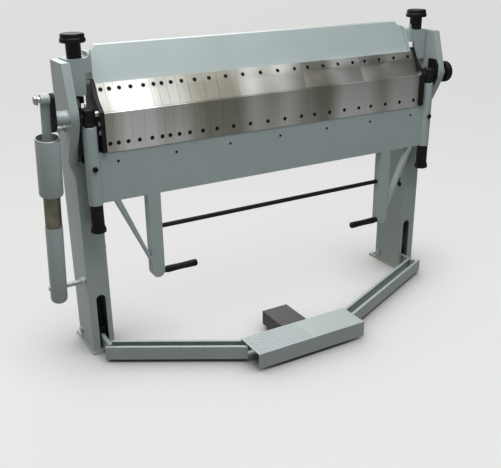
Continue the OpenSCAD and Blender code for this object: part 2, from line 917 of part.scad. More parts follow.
// Grip: sleeve with a collar, pointing inwards from the foot of a handle
module grip() {
    color(black) bend_frame() translate([handle_x, grip_y, -grip_drop]) rotate([0, -90, 0])
        rotate_extrude() polygon([[0, 0], [grip_r - 2, 0], [grip_r - 2, grip_neck],
            [grip_r, grip_neck + 3], [grip_r, grip_l - 3], [grip_r - 3, grip_l], [0, grip_l]]);
}
module grip_left() { machine() left_side() grip(); }
module grip_right() { machine() grip(); }

module crossbar() {
    machine() color(black) bend_frame() translate([0, crossbar_y, -crossbar_drop])
        bar_x_axis(-handle_x, handle_x, crossbar_r);
}

// Clamp beam: leaning panel, sole plate, rear skirt, ribs and end cheeks
module beam_section() {
    polygon([face_point(heel_u, finger_t), face_point(panel_h, finger_t),
        face_point(panel_h, finger_t + panel_t),
        face_point(foot_u(finger_t + panel_t), finger_t + panel_t)]);
    polygon([[face_point(heel_u, finger_t)[0], finger_foot_h], [clamp_rear, finger_foot_h],
        [clamp_rear, sole_top],
        [face_point(heel_u, finger_t)[0] + sole_t * s_lean / c_lean, sole_top]]);
    polygon([[clamp_rear - skirt_t, finger_foot_h], [clamp_rear, finger_foot_h],
        [clamp_rear, skirt_h], [clamp_rear - skirt_t, skirt_h]]);
    lip = face_point(panel_h, finger_t);
    polygon([lip, [lip[0] + lip_w, lip[1]], [lip[0] + lip_w, lip[1] - lip_t],
        [lip[0], lip[1] - lip_t]]);
}
module cheek_section() {
    step_u = finger_h + cheek_step;
    bend_u = panel_h - bevel;
    lip = face_point(panel_h, finger_t);
    polygon([face_point(heel_u, finger_t), face_point(step_u, finger_t),
        face_point(step_u, finger_t - cheek_proud), face_point(bend_u, finger_t - cheek_proud),
        face_point(bend_u + cheek_proud, finger_t), [lip[0] + lip_w, face_point(bend_u, 0)[1]],
        [clamp_rear, ear_top - ear_t], [clamp_rear, finger_foot_h]]);
}
module rib_section() {
    polygon([face_point(foot_u(finger_t + panel_t), finger_t + panel_t),
        face_point(panel_h - bevel, finger_t + panel_t),
        [clamp_rear - skirt_t, skirt_h], [clamp_rear - skirt_t, sole_top - cut]]);
}
module clamp_beam() {
    rib_pitch = 2 * beam_half / (rib_count + 1);
    machine() color(paint) bend_frame() translate([0, 0, seat_gap]) difference() {
        union() {
            slab(-beam_half, beam_half) beam_section();
            for (side = [0, 1]) mirror([side, 0, 0]) slab(beam_half, row_end) cheek_section();
            for (i = [1:rib_count])
                translate([i * rib_pitch - beam_half, 0, 0]) slab(-cheek_t / 2, cheek_t / 2)
                    rib_section();
        }
        for (side = [0, 1]) mirror([side, 0, 0]) panel_corner();
        clamp_screw_holes(finger_t - cut, finger_t + panel_t + cut, screw_shank_r + fit_gap);
    }
}
module panel_corner() {
    corner = face_point(panel_h, finger_t);
    reach = bevel * 3;
    translate([beam_half + cut, 0, corner[1] + cut])
        plank(corner[0] - reach, corner[0] + lip_w + cut)
            polygon([[0, 0], [-bevel, 0], [0, -bevel]]);
}
// Screw places on the sloping face, cut or filled from depth d0 to d1
module clamp_screw_holes(d0, d1, r) {
    at = face_point(finger_h - upper_screw_down, 0);
    for (i = [0:len(finger_shares) - 1], x = screw_xs(i))
        translate([x, at[0], at[1]]) rotate([-lean, 0, 0]) bar_y_axis(d0, d1, r);
}

// Clamp finger i: sloping nose in front, foot on the bed behind
module clamp_finger(i) {
    slab(finger_x(i) + finger_gap / 2, finger_x(i) + finger_w(i) - finger_gap / 2)
        polygon([[nose_y, 0], face_point(finger_h, 0), face_point(finger_h, finger_t),
            face_point(heel_u, finger_t), [nose_y + foot_len, finger_foot_h],
            [nose_y + foot_len, 0]]);
}
module clamp_finger_row(first, last) {
    machine() color(steel) bend_frame() translate([0, 0, seat_gap]) difference() {
        for (i = [first:last]) clamp_finger(i);
        clamp_screw_holes(-cut, screw_sink + screw_head_h, screw_r + fit_gap);
        clamp_screw_holes(-cut, finger_t + cut, screw_shank_r + fit_gap);
    }
}
module clamp_fingers_narrow() { clamp_finger_row(0, narrow_count - 1); }
module clamp_finger_wide_left() { clamp_finger_row(narrow_count, narrow_count); }
module clamp_finger_wide_middle() { clamp_finger_row(narrow_count + 1, narrow_count + 1); }
module clamp_finger_wide_right() { clamp_finger_row(narrow_count + 2, narrow_count + 2); }

module clamp_finger_screws() {
    machine() color(black) bend_frame() translate([0, 0, seat_gap]) {
        clamp_screw_holes(screw_sink, screw_sink + screw_head_h, screw_r);
        clamp_screw_holes(screw_sink, finger_t + panel_t, screw_shank_r);
    }
}

// Ear: bracket on each end of the clamp beam, pulled down by the rod in the column
module ear() {
    color(paint) bend_frame() translate([0, 0, seat_gap]) difference() {
        union() {
            plank(ear_front, ear_front + ear_t) difference() {
                polygon([[row_end, ear_notch_h], [row_end, ear_top + ear_fillet],
                    [row_end + ear_fillet, ear_top + ear_fillet], [row_end + ear_fillet, ear_top],
                    [ear_out, ear_top], [ear_out, ear_low], [row_end + ear_notch_w, ear_low],
                    [row_end + ear_notch_w, ear_notch_h]]);
                translate([row_end + ear_fillet, ear_top + ear_fillet]) circle(r = ear_fillet);
                translate([row_end + ear_fillet, ear_top])
                    square([ear_out - row_end, ear_fillet + cut]);
            }
            translate([row_end, ear_front + ear_t - cut, ear_top - ear_t])
                cube([ear_out - row_end, ear_rear - ear_front - ear_t + cut, ear_t]);
            translate([row_end, ear_front + ear_t - cut, ear_notch_h])
                cube([ear_web_t, ear_rear - ear_front - ear_t + cut, ear_top - ear_t - ear_notch_h + cut]);
        }
        translate([rod_x, rod_y, 0]) cylinder(h = ear_top + cut, r = rod_r + rod_hole_gap);
    }
}
module ear_left() { machine() left_side() ear(); }
module ear_right() { machine() ear(); }

// Pressure knob: threaded on the pull rod, it presses on the ear
module pressure_knob() {
    top = stem_h + knob_h;
    color(black) translate([rod_x, rod_y, knob_z]) difference() {
        rotate_extrude() polygon([[0, 0], [stem_r, 0], [stem_r, stem_h - knob_rim],
            [knob_r - knob_rim, stem_h], [knob_r, stem_h + knob_rim], [knob_r, stem_h + knob_tier],
            [knob_r - knob_rim, stem_h + knob_tier + knob_rim], [knob_r - knob_rim, top - knob_rim],
            [knob_r - 2 * knob_rim, top], [0, top]]);
        translate([0, 0, -cut])
            cylinder(h = rod_top - knob_z + cut + seat_gap, r = rod_r + fit_gap);
    }
}
module pressure_knob_left() { machine() left_side() pressure_knob(); }
module pressure_knob_right() { machine() pressure_knob(); }

// Pull rod: fork over the pedal lever, collar on the spring, nut under the ear
module pull_rod() {
    color(steel) translate([rod_x, rod_y, 0]) difference() {
        union() {
            translate([-fork_w / 2, -fork_front, fork_low])
                cube([fork_w, fork_d, fork_high - fork_low]);
            translate([0, 0, fork_high - cut]) cylinder(h = rod_top - fork_high + cut, r = rod_r);
            translate([0, 0, collar_z + seat_gap]) cylinder(h = collar_h, r = collar_r);
            translate([-nut_w / 2, -nut_w / 2, bend_h + nut_low]) cube([nut_w, nut_w, nut_h]);
        }
        translate([-lever_t / 2 - fork_side_gap, -fork_d, fork_low - cut])
            cube([lever_t + 2 * fork_side_gap, 2 * fork_d, fork_slot_top - fork_low + cut]);
        translate([0, 0, pedal_z]) {
            bar_x_axis(-fork_w, fork_w, link_pin_r + link_slack);
            translate([0, link_run, 0])
                bar_x_axis(-fork_w, fork_w, link_pin_r + link_slack);
            translate([-fork_w, 0, -link_pin_r - link_slack])
                cube([2 * fork_w, link_run, 2 * (link_pin_r + link_slack)]);
        }
    }
}
module pull_rod_left() { machine() left_side() pull_rod(); }
module pull_rod_right() { machine() pull_rod(); }

// Pedal lever: through the column slot, with the pin that moves the rod
module pedal_lever() {
    color(paint) {
        difference() {
            union() {
                slab(rod_x - lever_t / 2, rod_x + lever_t / 2)
                    polygon([[lever_front, lever_z], [lever_front, lever_z + lever_h],
                        [pedal_y - lever_end_r, lever_z + lever_h], [pedal_y, pedal_z + lever_end_r],
                        [pedal_y, pedal_z - lever_end_r], [pedal_y - lever_end_r, lever_z]]);
                translate([0, pedal_y, pedal_z])
                    bar_x_axis(rod_x - lever_t / 2, rod_x + lever_t / 2, lever_end_r);
            }
            translate([0, pedal_y, pedal_z])
                bar_x_axis(rod_x - lever_t, rod_x + lever_t, pedal_pin_r + fit_gap);
        }
        translate([0, rod_y, pedal_z]) bar_x_axis(rod_x - fork_w / 2, rod_x + fork_w / 2, link_pin_r);
    }
}
module pedal_lever_left() { machine() left_side() pedal_lever(); }
module pedal_lever_right() { machine() pedal_lever(); }

// Treadle arm: open channel with lips, from start to goal in plan
module arm_channel(start, goal) {
    run = goal - start;
    length = norm(run);
    inner = arm_w - 2 * arm_t;
    translate([start[0], start[1], arm_z]) rotate([0, 0, atan2(run[1], run[0])]) difference() {
        translate([0, -arm_w / 2, 0]) cube([length, arm_w, arm_h]);
        translate([-cut, -inner / 2, arm_t]) cube([length + 2 * cut, inner, arm_h - 2 * arm_t]);
        translate([-cut, arm_lip - arm_w / 2, arm_t])
            cube([length + 2 * cut, arm_w - 2 * arm_lip, arm_h]);
    }
}
module treadle_arm(start, goal) {
    machine() color(paint) difference() {
        arm_channel(start, goal);
        translate([treadle_x - treadle_w / 2, -treadle_front, 0])
            cube([treadle_w, treadle_d, treadle_top + cut]);
        for (side = [-1, 1])
            translate([side * rod_x - lever_t / 2, lever_front, 0])
                cube([lever_t, col_front, treadle_top]);
    }
}
module treadle_arm_left() {
    treadle_arm([-rod_x - arm_start[0], arm_start[1]],
        [treadle_x - treadle_w / 2 + arm_left_end[1], treadle_rear - arm_left_end[1]]);
}
module treadle_arm_right() {
    treadle_arm([rod_x + arm_start[0], arm_start[1]],
        [treadle_x + treadle_w / 2 - arm_right_end[1], treadle_rear - arm_right_end[1]]);
}

// Treadle: inverted channel with open ends
module treadle() {
    machine() color(paint) translate([treadle_x - treadle_w / 2, -treadle_front, arm_z]) difference() {
        cube([treadle_w, treadle_d, treadle_h]);
        translate([-cut, arm_t, -cut])
            cube([treadle_w + 2 * cut, treadle_d - 2 * arm_t, treadle_h - arm_t + cut]);
    }
}

// Heel box: small box, open below, on the treadle's rear wall, flush with its top
module treadle_heel() {
    machine() color(black) translate([heel_x, treadle_rear, treadle_top - heel_h]) difference() {
        cube([heel_w, heel_d, heel_h]);
        translate([arm_t, arm_t, -cut])
            cube([heel_w - 2 * arm_t, heel_d - 2 * arm_t, heel_h - arm_t + cut]);
    }
}

// Strut frames: along the strut's axis from its lower pivot, and from the crank pin
module strut_frame() {
    machine() left_side() translate([strut_x, strut_y, bend_h - strut_drop])
        rotate([strut_tilt, 0, 0]) children();
}
module strut_bar() {
    color(paint) machine() left_side() translate([strut_x, pin_y, bend_h + pin_z])
        rotate([strut_tilt, 0, 0]) difference() {
            union() {
                translate([-bar_w / 2, -bar_t / 2, -bar_down]) cube([bar_w, bar_t, bar_down]);
                bar_x_axis(-bar_w / 2, bar_w / 2, bar_over);
            }
            bar_x_axis(-bar_w, bar_w, strut_pin_r + fit_gap);
        }
}
module strut_sleeve() {
    bottom = bare_top - bare_lap;
    edge = 5;
    strut_frame() color(paint) difference() {
        translate([0, 0, bottom]) rotate_extrude() polygon([[0, 0], [sleeve_r - edge, 0],
            [sleeve_r, edge], [sleeve_r, sleeve_top - bottom], [0, sleeve_top - bottom]]);
        translate([0, 0, bare_top]) cylinder(h = sleeve_top, r = sleeve_r - sleeve_t);
        translate([0, 0, bottom - cut]) cylinder(h = sleeve_top, r = bare_r);
    }
}
// Bare tube in the middle, painted tube at the foot
module strut_tubes() {
    round_r = 12;
    strut_frame() color(paint) difference() {
        union() {
            translate([0, 0, -base_low]) rotate_extrude() polygon([[0, 0], [base_r - round_r, 0],
                [base_r - round_r / 3, round_r / 3], [base_r, round_r],
                [base_r, base_low + base_top], [0, base_low + base_top]]);
            translate([0, 0, base_top - cut]) cylinder(h = bare_top - base_top + cut, r = bare_r);
        }
        bar_x_axis(-base_r - cut, base_r + cut, strut_pin_r + fit_gap);
    }
}

column_left();
column_right();
foot_plates();
bed_beam();
bed_blade();
bed_ribs();
pivot_plate_inner_left();
pivot_plate_inner_right();
pivot_plate_outer_left();
pivot_plate_outer_right();
pivot_bushes();
pivot_housings();
plate_bolts();
column_bolts();
pedal_pivot_pins();
strut_stud();
apron_stop_bolt();
return_springs();
pivot_block_left();
pivot_block_right();
pivot_shaft_left();
pivot_shaft_right();
adjuster_spindles();
crank_arm();
crank_pin();
angle_disc();
apron_plate();
apron_tube_left();
apron_tube_right();
apron_fingers();
apron_finger_screws();
apron_set_screws();
handle_left();
handle_right();
grip_left();
grip_right();
crossbar();
adjuster_knob_left();
adjuster_knob_right();
clamp_beam();
ear_left();
ear_right();
clamp_fingers_narrow();
clamp_finger_wide_left();
clamp_finger_wide_middle();
clamp_finger_wide_right();
clamp_finger_screws();
pressure_knob_left();
pressure_knob_right();
pull_rod_left();
pull_rod_right();
pedal_lever_left();
pedal_lever_right();
treadle_arm_left();
treadle_arm_right();
treadle();
treadle_heel();
strut_bar();
strut_sleeve();
strut_tubes();
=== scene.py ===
import json
import math
import bmesh
import bpy
from mathutils import Matrix, Vector

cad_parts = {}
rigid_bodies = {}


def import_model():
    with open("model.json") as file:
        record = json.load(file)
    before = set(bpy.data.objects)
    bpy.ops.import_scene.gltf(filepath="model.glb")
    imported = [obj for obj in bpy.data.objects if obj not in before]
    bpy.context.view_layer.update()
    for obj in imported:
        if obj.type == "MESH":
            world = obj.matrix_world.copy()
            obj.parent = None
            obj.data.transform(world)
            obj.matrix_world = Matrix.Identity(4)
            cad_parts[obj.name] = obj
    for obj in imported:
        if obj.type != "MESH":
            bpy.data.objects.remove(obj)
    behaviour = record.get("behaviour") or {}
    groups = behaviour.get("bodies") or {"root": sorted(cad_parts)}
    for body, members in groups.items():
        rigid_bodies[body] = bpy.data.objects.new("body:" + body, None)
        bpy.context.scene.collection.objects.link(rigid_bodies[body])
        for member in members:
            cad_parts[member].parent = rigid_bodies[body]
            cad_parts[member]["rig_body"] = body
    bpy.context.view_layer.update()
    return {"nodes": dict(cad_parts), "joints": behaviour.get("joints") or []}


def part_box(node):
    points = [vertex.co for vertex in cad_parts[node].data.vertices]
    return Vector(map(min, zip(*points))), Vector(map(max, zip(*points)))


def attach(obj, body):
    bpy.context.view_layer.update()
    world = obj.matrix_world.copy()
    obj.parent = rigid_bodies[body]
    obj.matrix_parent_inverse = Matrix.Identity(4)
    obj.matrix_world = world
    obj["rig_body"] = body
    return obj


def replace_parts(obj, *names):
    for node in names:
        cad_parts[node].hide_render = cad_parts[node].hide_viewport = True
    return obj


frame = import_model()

# Columns and their feet
# Steel boxes with a slot in front and a thick cheek plate as head, welded to foot plates.
# Sprayed with a pale grey-green satin enamel, the main colour of the machine.
PAINT = (0.400, 0.470, 0.470)
PAINT_SHADE = (0.340, 0.400, 0.402)
FLOOR_DUST = (0.47, 0.47, 0.45)
DUST_HEIGHT = 0.11
ORANGE_PEEL = 0.0004


class Wire:
    """An output of a node, so that sums on it read as Python."""

    def __init__(self, board, socket):
        self.board = board
        self.socket = socket

    def __add__(self, other):
        return self.board.sum("ADD", self, other)

    def __sub__(self, other):
        return self.board.sum("SUBTRACT", self, other)

    def __rsub__(self, other):
        return self.board.sum("SUBTRACT", other, self)

    def __mul__(self, other):
        return self.board.sum("MULTIPLY", self, other)

    def __truediv__(self, other):
        return self.board.sum("DIVIDE", self, other)

    def __rtruediv__(self, other):
        return self.board.sum("DIVIDE", other, self)

    def __mod__(self, other):
        return self.board.sum("MODULO", self, other)

    def __rmod__(self, other):
        return self.board.sum("MODULO", other, self)

    __radd__ = __add__
    __rmul__ = __mul__

    def held(self):
        """The same value, kept between 0 and 1."""
        return self.board.sum("ADD", self, 0.0, use_clamp=True)


class Board:
    """A node tree, and the one method that makes its nodes."""

    def __init__(self, tree):
        self.tree = tree

    def node(self, kind, settings=None, values=None):
        """Adds a node: its settings first, then a value or a link for each socket named."""
        made = self.tree.nodes.new(kind)
        for key, value in (settings or {}).items():
            if key == "stops":
                for at, _ in value[1:-1]:
                    made.color_ramp.elements.new(at)
                for element, (at, colour) in zip(made.color_ramp.elements, value):
                    element.position = at
                    element.color = (*colour, 1.0)
            else:
                setattr(made, key, value)
        for key, value in (values or {}).items():
            socket = made.inputs[key]
            if isinstance(value, Wire):
                self.tree.links.new(value.socket, socket)
            elif socket.type == "RGBA":
                socket.default_value = (*value, 1.0)
            else:
                socket.default_value = value
        return made

    def out(self, node, name):
        """One output of a node."""
        return Wire(self, node.outputs[name])

    def sum(self, operation, *terms, **settings):
        """A Math node on wires and numbers."""
        step = self.node("ShaderNodeMath", {"operation": operation, **settings},
                         dict(enumerate(terms)))
        return self.out(step, "Value")

    def vector_sum(self, operation, *terms):
        """A Vector Math node on wires and vectors."""
        step = self.node("ShaderNodeVectorMath", {"operation": operation},
                         dict(enumerate(terms)))
        return self.out(step, "Vector")

    def part(self, vector, axis):
        """One axis of a vector."""
        return self.out(self.node("ShaderNodeSeparateXYZ", {}, {"Vector": vector}), axis)

    def mixed(self, first, second, share):
        """A mix of two colours; share is how much of the second shows."""
        step = self.node("ShaderNodeMix", {"data_type": "RGBA"},
                         {"Factor": share, 6: first, 7: second})
        return self.out(step, 2)


class Finish(Board):
    """One surface finish: a material with its shader, made node by node."""

    def __init__(self, name, **constants):
        self.material = bpy.data.materials.new(name)
        self.material.use_nodes = True
        super().__init__(self.material.node_tree)
        self.tree.nodes.clear()
        self.shader = self.node("ShaderNodeBsdfPrincipled", {}, {
            key.replace("_", " "): value for key, value in constants.items()})
        self.node("ShaderNodeOutputMaterial", {}, {"Surface": self.out(self.shader, "BSDF")})
        self.place = self.out(self.node("ShaderNodeTexCoord"), "Object")

    def stretched(self, along):
        """The place on the piece, multiplied axis by axis."""
        return self.vector_sum("MULTIPLY", self.place, along)

    def noise(self, scale, detail=2.0, vector=None, roughness=0.5):
        """Cloudy noise between 0 and 1."""
        step = self.node("ShaderNodeTexNoise", {}, {
            "Vector": vector or self.place, "Scale": scale, "Detail": detail,
            "Roughness": roughness})
        return self.out(step, "Fac")

    def bump(self, height, strength, distance):
        """Fine relief as a normal."""
        step = self.node("ShaderNodeBump", {}, {
            "Height": height, "Strength": strength, "Distance": distance})
        return self.out(step, "Normal")

    def feed(self, **inputs):
        """Links wires to the sockets of the shader."""
        for key, value in inputs.items():
            self.tree.links.new(value.socket, self.shader.inputs[key.replace("_", " ")])


def enamel(name, colour, shade, gloss, dusty=0.55):
    """Sprayed satin enamel: cloudy colour, orange peel, dust near the floor."""
    made = Finish(name, IOR=1.52)
    cloud = (made.noise(5.0, 3.0) * 1.6 - 0.3).held()
    low = (1.0 - made.part(made.place, "Z") / DUST_HEIGHT).held()
    dust = low * made.noise(38.0, 4.0) * dusty
    rub = ((made.noise(21.0, 5.0, roughness=0.7) - 0.6) * 3.0).held() * 0.18
    sprayed = made.mixed(colour, shade, cloud)
    made.feed(Base_Color=made.mixed(sprayed, FLOOR_DUST, (dust + rub).held()),
              Roughness=(gloss + (made.noise(60.0, 3.0) - 0.5) * 0.14 + dust * 0.3).held(),
              Normal=made.bump(made.noise(520.0, 2.0), 0.12, ORANGE_PEEL))
    return made.material


satin_paint = enamel("satin_paint", PAINT, PAINT_SHADE, 0.31)
SHARP_ANGLE = math.radians(38)
CUT_ANGLE = math.radians(30)
FLAT_ANGLE = math.radians(0.6)
WELD_GAP = 2e-6


def placed(name, data):
    """An object for a mesh, a lamp or a camera, put into the scene."""
    piece = bpy.data.objects.new(name, data)
    bpy.context.scene.collection.objects.link(piece)
    return piece


def smoothed(mesh):
    """Smooth faces that meet in a sharp line where they turn by more than the sharp angle."""
    mesh.shade_smooth()
    mesh.set_sharp_from_angle(angle=SHARP_ANGLE)


def plain(piece):
    """Turns what a piece's modifiers make into its mesh."""
    graph = bpy.context.evaluated_depsgraph_get()
    graph.update()
    done = bpy.data.meshes.new_from_object(piece.evaluated_get(graph))
    piece.modifiers.clear()
    piece.data = done
    return piece


def shown(piece, finish, nodes, body=None, smooth=True):
    """Gives a piece its finish, its body and the nodes it stands for."""
    piece.data.materials.clear()
    piece.data.materials.append(finish)
    if smooth:
        smoothed(piece.data)
    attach(piece, body or frame["nodes"][nodes[0]]["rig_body"])
    if nodes:
        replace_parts(piece, *nodes)
    return piece


def eased(node, width, finish):
    """A CAD node's shape with its sharp edges rounded, shown in the node's place."""
    shape = bmesh.new()
    shape.from_mesh(frame["nodes"][node].data)
    bmesh.ops.remove_doubles(shape, verts=shape.verts, dist=WELD_GAP)
    bmesh.ops.dissolve_limit(shape, angle_limit=FLAT_ANGLE, verts=shape.verts,
                             edges=shape.edges)
    mesh = bpy.data.meshes.new(node + "_eased")
    shape.to_mesh(mesh)
    shape.free()
    if "custom_normal" in mesh.attributes:
        mesh.attributes.remove(mesh.attributes["custom_normal"])
    smoothed(mesh)
    piece = placed(node + "_eased", mesh)
    rounding = piece.modifiers.new("rounding", "BEVEL")
    rounding.width = width
    rounding.segments = 2
    rounding.limit_method = "ANGLE"
    rounding.angle_limit = CUT_ANGLE
    rounding.miter_outer = "MITER_ARC"
    flatness = piece.modifiers.new("flatness", "WEIGHTED_NORMAL")
    flatness.mode = "FACE_AREA"
    flatness.weight = 80
    flatness.keep_sharp = True
    return shown(plain(piece), finish, [node], smooth=False)


COLUMN_EDGE = 0.0022
FOOT_PLATE_EDGE = 0.0012
for column in ("column_left", "column_right"):
    eased(column, COLUMN_EDGE, satin_paint)
eased("foot_plates", FOOT_PLATE_EDGE, satin_paint)

# Black bolts that hold the spring shelves
# Two hexagon bolts in the inner wall of each column, screwed into the shelf inside.
# Steel with a black oxide finish, as on the pivot plates.
OXIDE_BLACK = (0.006, 0.006, 0.007)
OXIDE_BROWN = (0.022, 0.021, 0.020)
OXIDE_GRAIN = 0.0003


def oxide(name, gloss):
    """Black oxide on machined steel: deep, slightly brown, with dull patches."""
    made = Finish(name, IOR=1.30)
    patch = (made.noise(26.0, 4.0, roughness=0.6) * 1.5 - 0.45).held()
    made.feed(Base_Color=made.mixed(OXIDE_BLACK, OXIDE_BROWN, patch),
              Roughness=(gloss + (made.noise(90.0, 3.0) - 0.5) * 0.22).held(),
              Normal=made.bump(made.noise(900.0, 2.0), 0.10, OXIDE_GRAIN))
    return made.material


black_oxide = oxide("black_oxide", 0.45)


def turn(name, rings, place, finish, nodes=(), body=None, segments=64):
    """A turned piece: rings of radius and height around the local Z axis of a place."""
    shape = bmesh.new()
    loops = []
    for radius, height in rings:
        if radius == 0:
            loops.append([shape.verts.new(place @ Vector((0, 0, height)))])
            continue
        loop = []
        for step in range(segments):
            angle = 2 * math.pi * step / segments
            reach = radius(angle) if callable(radius) else radius
            spot = Vector((reach * math.cos(angle), reach * math.sin(angle), height))
            loop.append(shape.verts.new(place @ spot))
        loops.append(loop)
    for low, high in zip(loops, loops[1:]):
        for step in range(segments):
            after = (step + 1) % segments
            corners = [low[step % len(low)], low[after % len(low)],
                       high[after % len(high)], high[step % len(high)]]
            corners = [c for spot, c in enumerate(corners) if c not in corners[:spot]]
            if len(corners) > 2:
                shape.faces.new(corners)
    bmesh.ops.recalc_face_normals(shape, faces=shape.faces)
    mesh = bpy.data.meshes.new(name)
    shape.to_mesh(mesh)
    shape.free()
    return shown(placed(name, mesh), finish, list(nodes), body)


def standing(x, y, z):
    """A place whose local Z points up."""
    return Matrix.Translation((x, y, z))


def lying(x, y, z, side):
    """A place whose local Z points along X: to the right, or to the left where side is -1."""
    return standing(x, y, z) @ Matrix.Rotation(side * math.pi / 2, 4, "Y")


def joined(name, pieces):
    """Puts several made pieces of one finish into one object."""
    keep = pieces[0]
    keep.name = name
    shape = bmesh.new()
    for piece in pieces:
        shape.from_mesh(piece.data)
    shape.to_mesh(keep.data)
    shape.free()
    smoothed(keep.data)
    for piece in pieces[1:]:
        bpy.data.objects.remove(piece)
    return keep


HEX_CHAMFER_SHARE = 0.13
HEX_HOLLOW_SHARES = (0.55, 0.50)
WASHER_SHARES = (1.25, 1.18)


def hexagon(name, radius, length, place, finish, body, washer=0.0):
    """A chamfered hexagon head or nut, a little hollow on top, with a washer where one is given."""
    edge = radius * HEX_CHAMFER_SHARE
    floor = length - edge * 0.3
    hollow, hollow_foot = (radius * share for share in HEX_HOLLOW_SHARES)
    head = turn(name, [(0, washer), (radius, washer), (radius, length - edge * 0.6),
                       (radius - edge, length), (hollow, length), (hollow_foot, floor),
                       (0, floor)],
                place, finish, body=body, segments=6)
    if washer:
        wide, top = (radius * share for share in WASHER_SHARES)
        ring = turn(name + "_washer", [(0, 0), (wide, 0), (wide, washer * 0.7), (top, washer),
                                       (0, washer)],
                    place, finish, body=body)
        head = joined(name, [head, ring])
    return head


def axis_of(joint):
    """The place of a joint's axis, as the frame gives it."""
    return next(entry for entry in frame["joints"] if entry["name"] == joint)["pos_m"]


MIDDLE_X, PIVOT_Y, PIVOT_Z = axis_of("apron_swing")
SHELF_BOLT_OUT = 0.6458
SHELF_BOLT_R = 0.0085
SHELF_BOLT_HEAD = 0.0062
SHELF_BOLT_WASHER = 0.001
SHELF_BOLTS_YZ = ((0.1355, 0.403), (0.1275, 0.3837))
column_heads = []
for side in (-1, 1):
    for y, z in SHELF_BOLTS_YZ:
        spot = lying(MIDDLE_X + side * SHELF_BOLT_OUT, y, z, -side)
        column_heads.append(hexagon("column_bolt", SHELF_BOLT_R, SHELF_BOLT_HEAD, spot,
                                    black_oxide, "frame", SHELF_BOLT_WASHER))
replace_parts(joined("column_bolts_made", column_heads), "column_bolts")

# Bed
# A box beam between the columns carries a ground steel blade; welded ribs stiffen the blade.
# The blade's edge is the fixed jaw on which the sheet is folded.
BED_EDGE = 0.0018
RIB_EDGE = 0.0008
BLADE_EDGE = 0.0006
eased("bed_beam", BED_EDGE, satin_paint)
eased("bed_ribs", RIB_EDGE, satin_paint)

STEEL = (0.76, 0.76, 0.755)
# The darker steel tone and its stretch below are painted reflection: soft stripes that stand in for
# what the face mirrors.
STEEL_PAINTED_REFLECTION_DARK = (0.24, 0.232, 0.180)
STEEL_STAIN = (0.36, 0.33, 0.28)
STEEL_GLINT = (0.78, 0.77, 0.75)
GRINDING_LINES = (900.0, 180.0, 22.0)
PAINTED_REFLECTION_STRETCH = (5.5, 1.2, 0.9)
GRINDING_GRAIN = 0.0002


def ground(name, gloss):
    """Surface-ground steel: fine lines up the face, soft stripes of painted reflection, faint
    stains.
    """
    made = Finish(name, Metallic=1.0, Anisotropic=0.35)
    lines = made.noise(1.0, 3.0, made.stretched(GRINDING_LINES), 0.7)
    painted_reflection_bands = made.noise(1.0, 1.0, made.stretched(PAINTED_REFLECTION_STRETCH), 0.4)
    stain = made.noise(34.0, 5.0, roughness=0.65)
    # Painted reflection: soft stripes blend the steel towards a darker tone, as mirrored
    # surroundings would.
    tint = made.mixed(STEEL_PAINTED_REFLECTION_DARK, STEEL, ((painted_reflection_bands - 0.40) * 4.2).held())
    spotted = made.mixed(tint, STEEL_STAIN, ((stain - 0.64) * 2.4).held() * 0.25)
    made.feed(Base_Color=made.mixed(spotted, STEEL_GLINT, (lines * 0.4 - 0.1).held()),
              Roughness=(gloss + (lines - 0.5) * 0.10 + (stain - 0.5) * 0.06).held(),
              Normal=made.bump(lines, 0.05, GRINDING_GRAIN))
    return made.material


ground_steel = ground("ground_steel", 0.30)
eased("bed_blade", BLADE_EDGE, ground_steel)

# Pivot plates, bushes and housings
# Black plates beside the rows of fingers and on the cheeks hold bronze bushes for the shafts.
# Round painted housings stand on the outer faces of the cheeks, around the same shafts.
PLATE_EDGE = 0.0008
for plate in ("pivot_plate_inner_left", "pivot_plate_inner_right",
              "pivot_plate_outer_left", "pivot_plate_outer_right"):
    eased(plate, PLATE_EDGE, black_oxide)

BRONZE_OILED = (0.10, 0.07, 0.045)
BRONZE_BARE = (0.21, 0.15, 0.09)
bronze = Finish("oiled_bronze", Metallic=1.0)
oil = bronze.noise(45.0, 4.0)
bronze.feed(Base_Color=bronze.mixed(BRONZE_OILED, BRONZE_BARE, oil),
            Roughness=(oil * 0.3 + 0.2).held())


def worn(node, finish):
    """Leaves a CAD node's shape as it is and gives it a finish."""
    mesh = frame["nodes"][node].data
    mesh.materials.clear()
    mesh.materials.append(finish)


worn("pivot_bushes", bronze.material)


def groove(radius, low, high, depth, slope=0.0006):
    """The rings of a shallow groove: low edge, high edge, depth and slope of its sides."""
    return [(radius, low), (radius - depth, low + slope),
            (radius - depth, high - slope), (radius, high)]


CHEEK_X = {-1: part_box("column_left")[0].x, 1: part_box("column_right")[1].x}
HOUSING_REACH = {-1: 0.0430, 1: 0.0078}
HOUSING_R = 0.0215
HOUSING_EDGE = 0.0016
HOUSING_GROOVE = (0.0030, 0.0054, 0.0007)
SHAFT_HOLE_R = 0.0103
SHAFT_HOLE_EDGE = 0.0010
housings = []
for side, reach in HOUSING_REACH.items():
    housings.append(turn("housing", [
        (SHAFT_HOLE_R, 0), (HOUSING_R, 0), *groove(HOUSING_R, *HOUSING_GROOVE),
        (HOUSING_R, reach - HOUSING_EDGE), (HOUSING_R - HOUSING_EDGE, reach),
        (SHAFT_HOLE_R + SHAFT_HOLE_EDGE, reach), (SHAFT_HOLE_R, reach - SHAFT_HOLE_EDGE),
        (SHAFT_HOLE_R, 0)], lying(CHEEK_X[side], PIVOT_Y, PIVOT_Z, side),
        satin_paint, body="frame"))
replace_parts(joined("housings_made", housings), "pivot_housings")

# Bright bolts of the inner pivot plates and the apron's stop bolt
# Plated steel with finger marks: three hexagon bolts hold each inner pivot plate.
# A long bolt with a lock nut on the left cheek stands near the crank when the apron hangs.
PLATE_BRIGHT = (0.50, 0.51, 0.52)
PLATE_MARKED = (0.36, 0.36, 0.37)


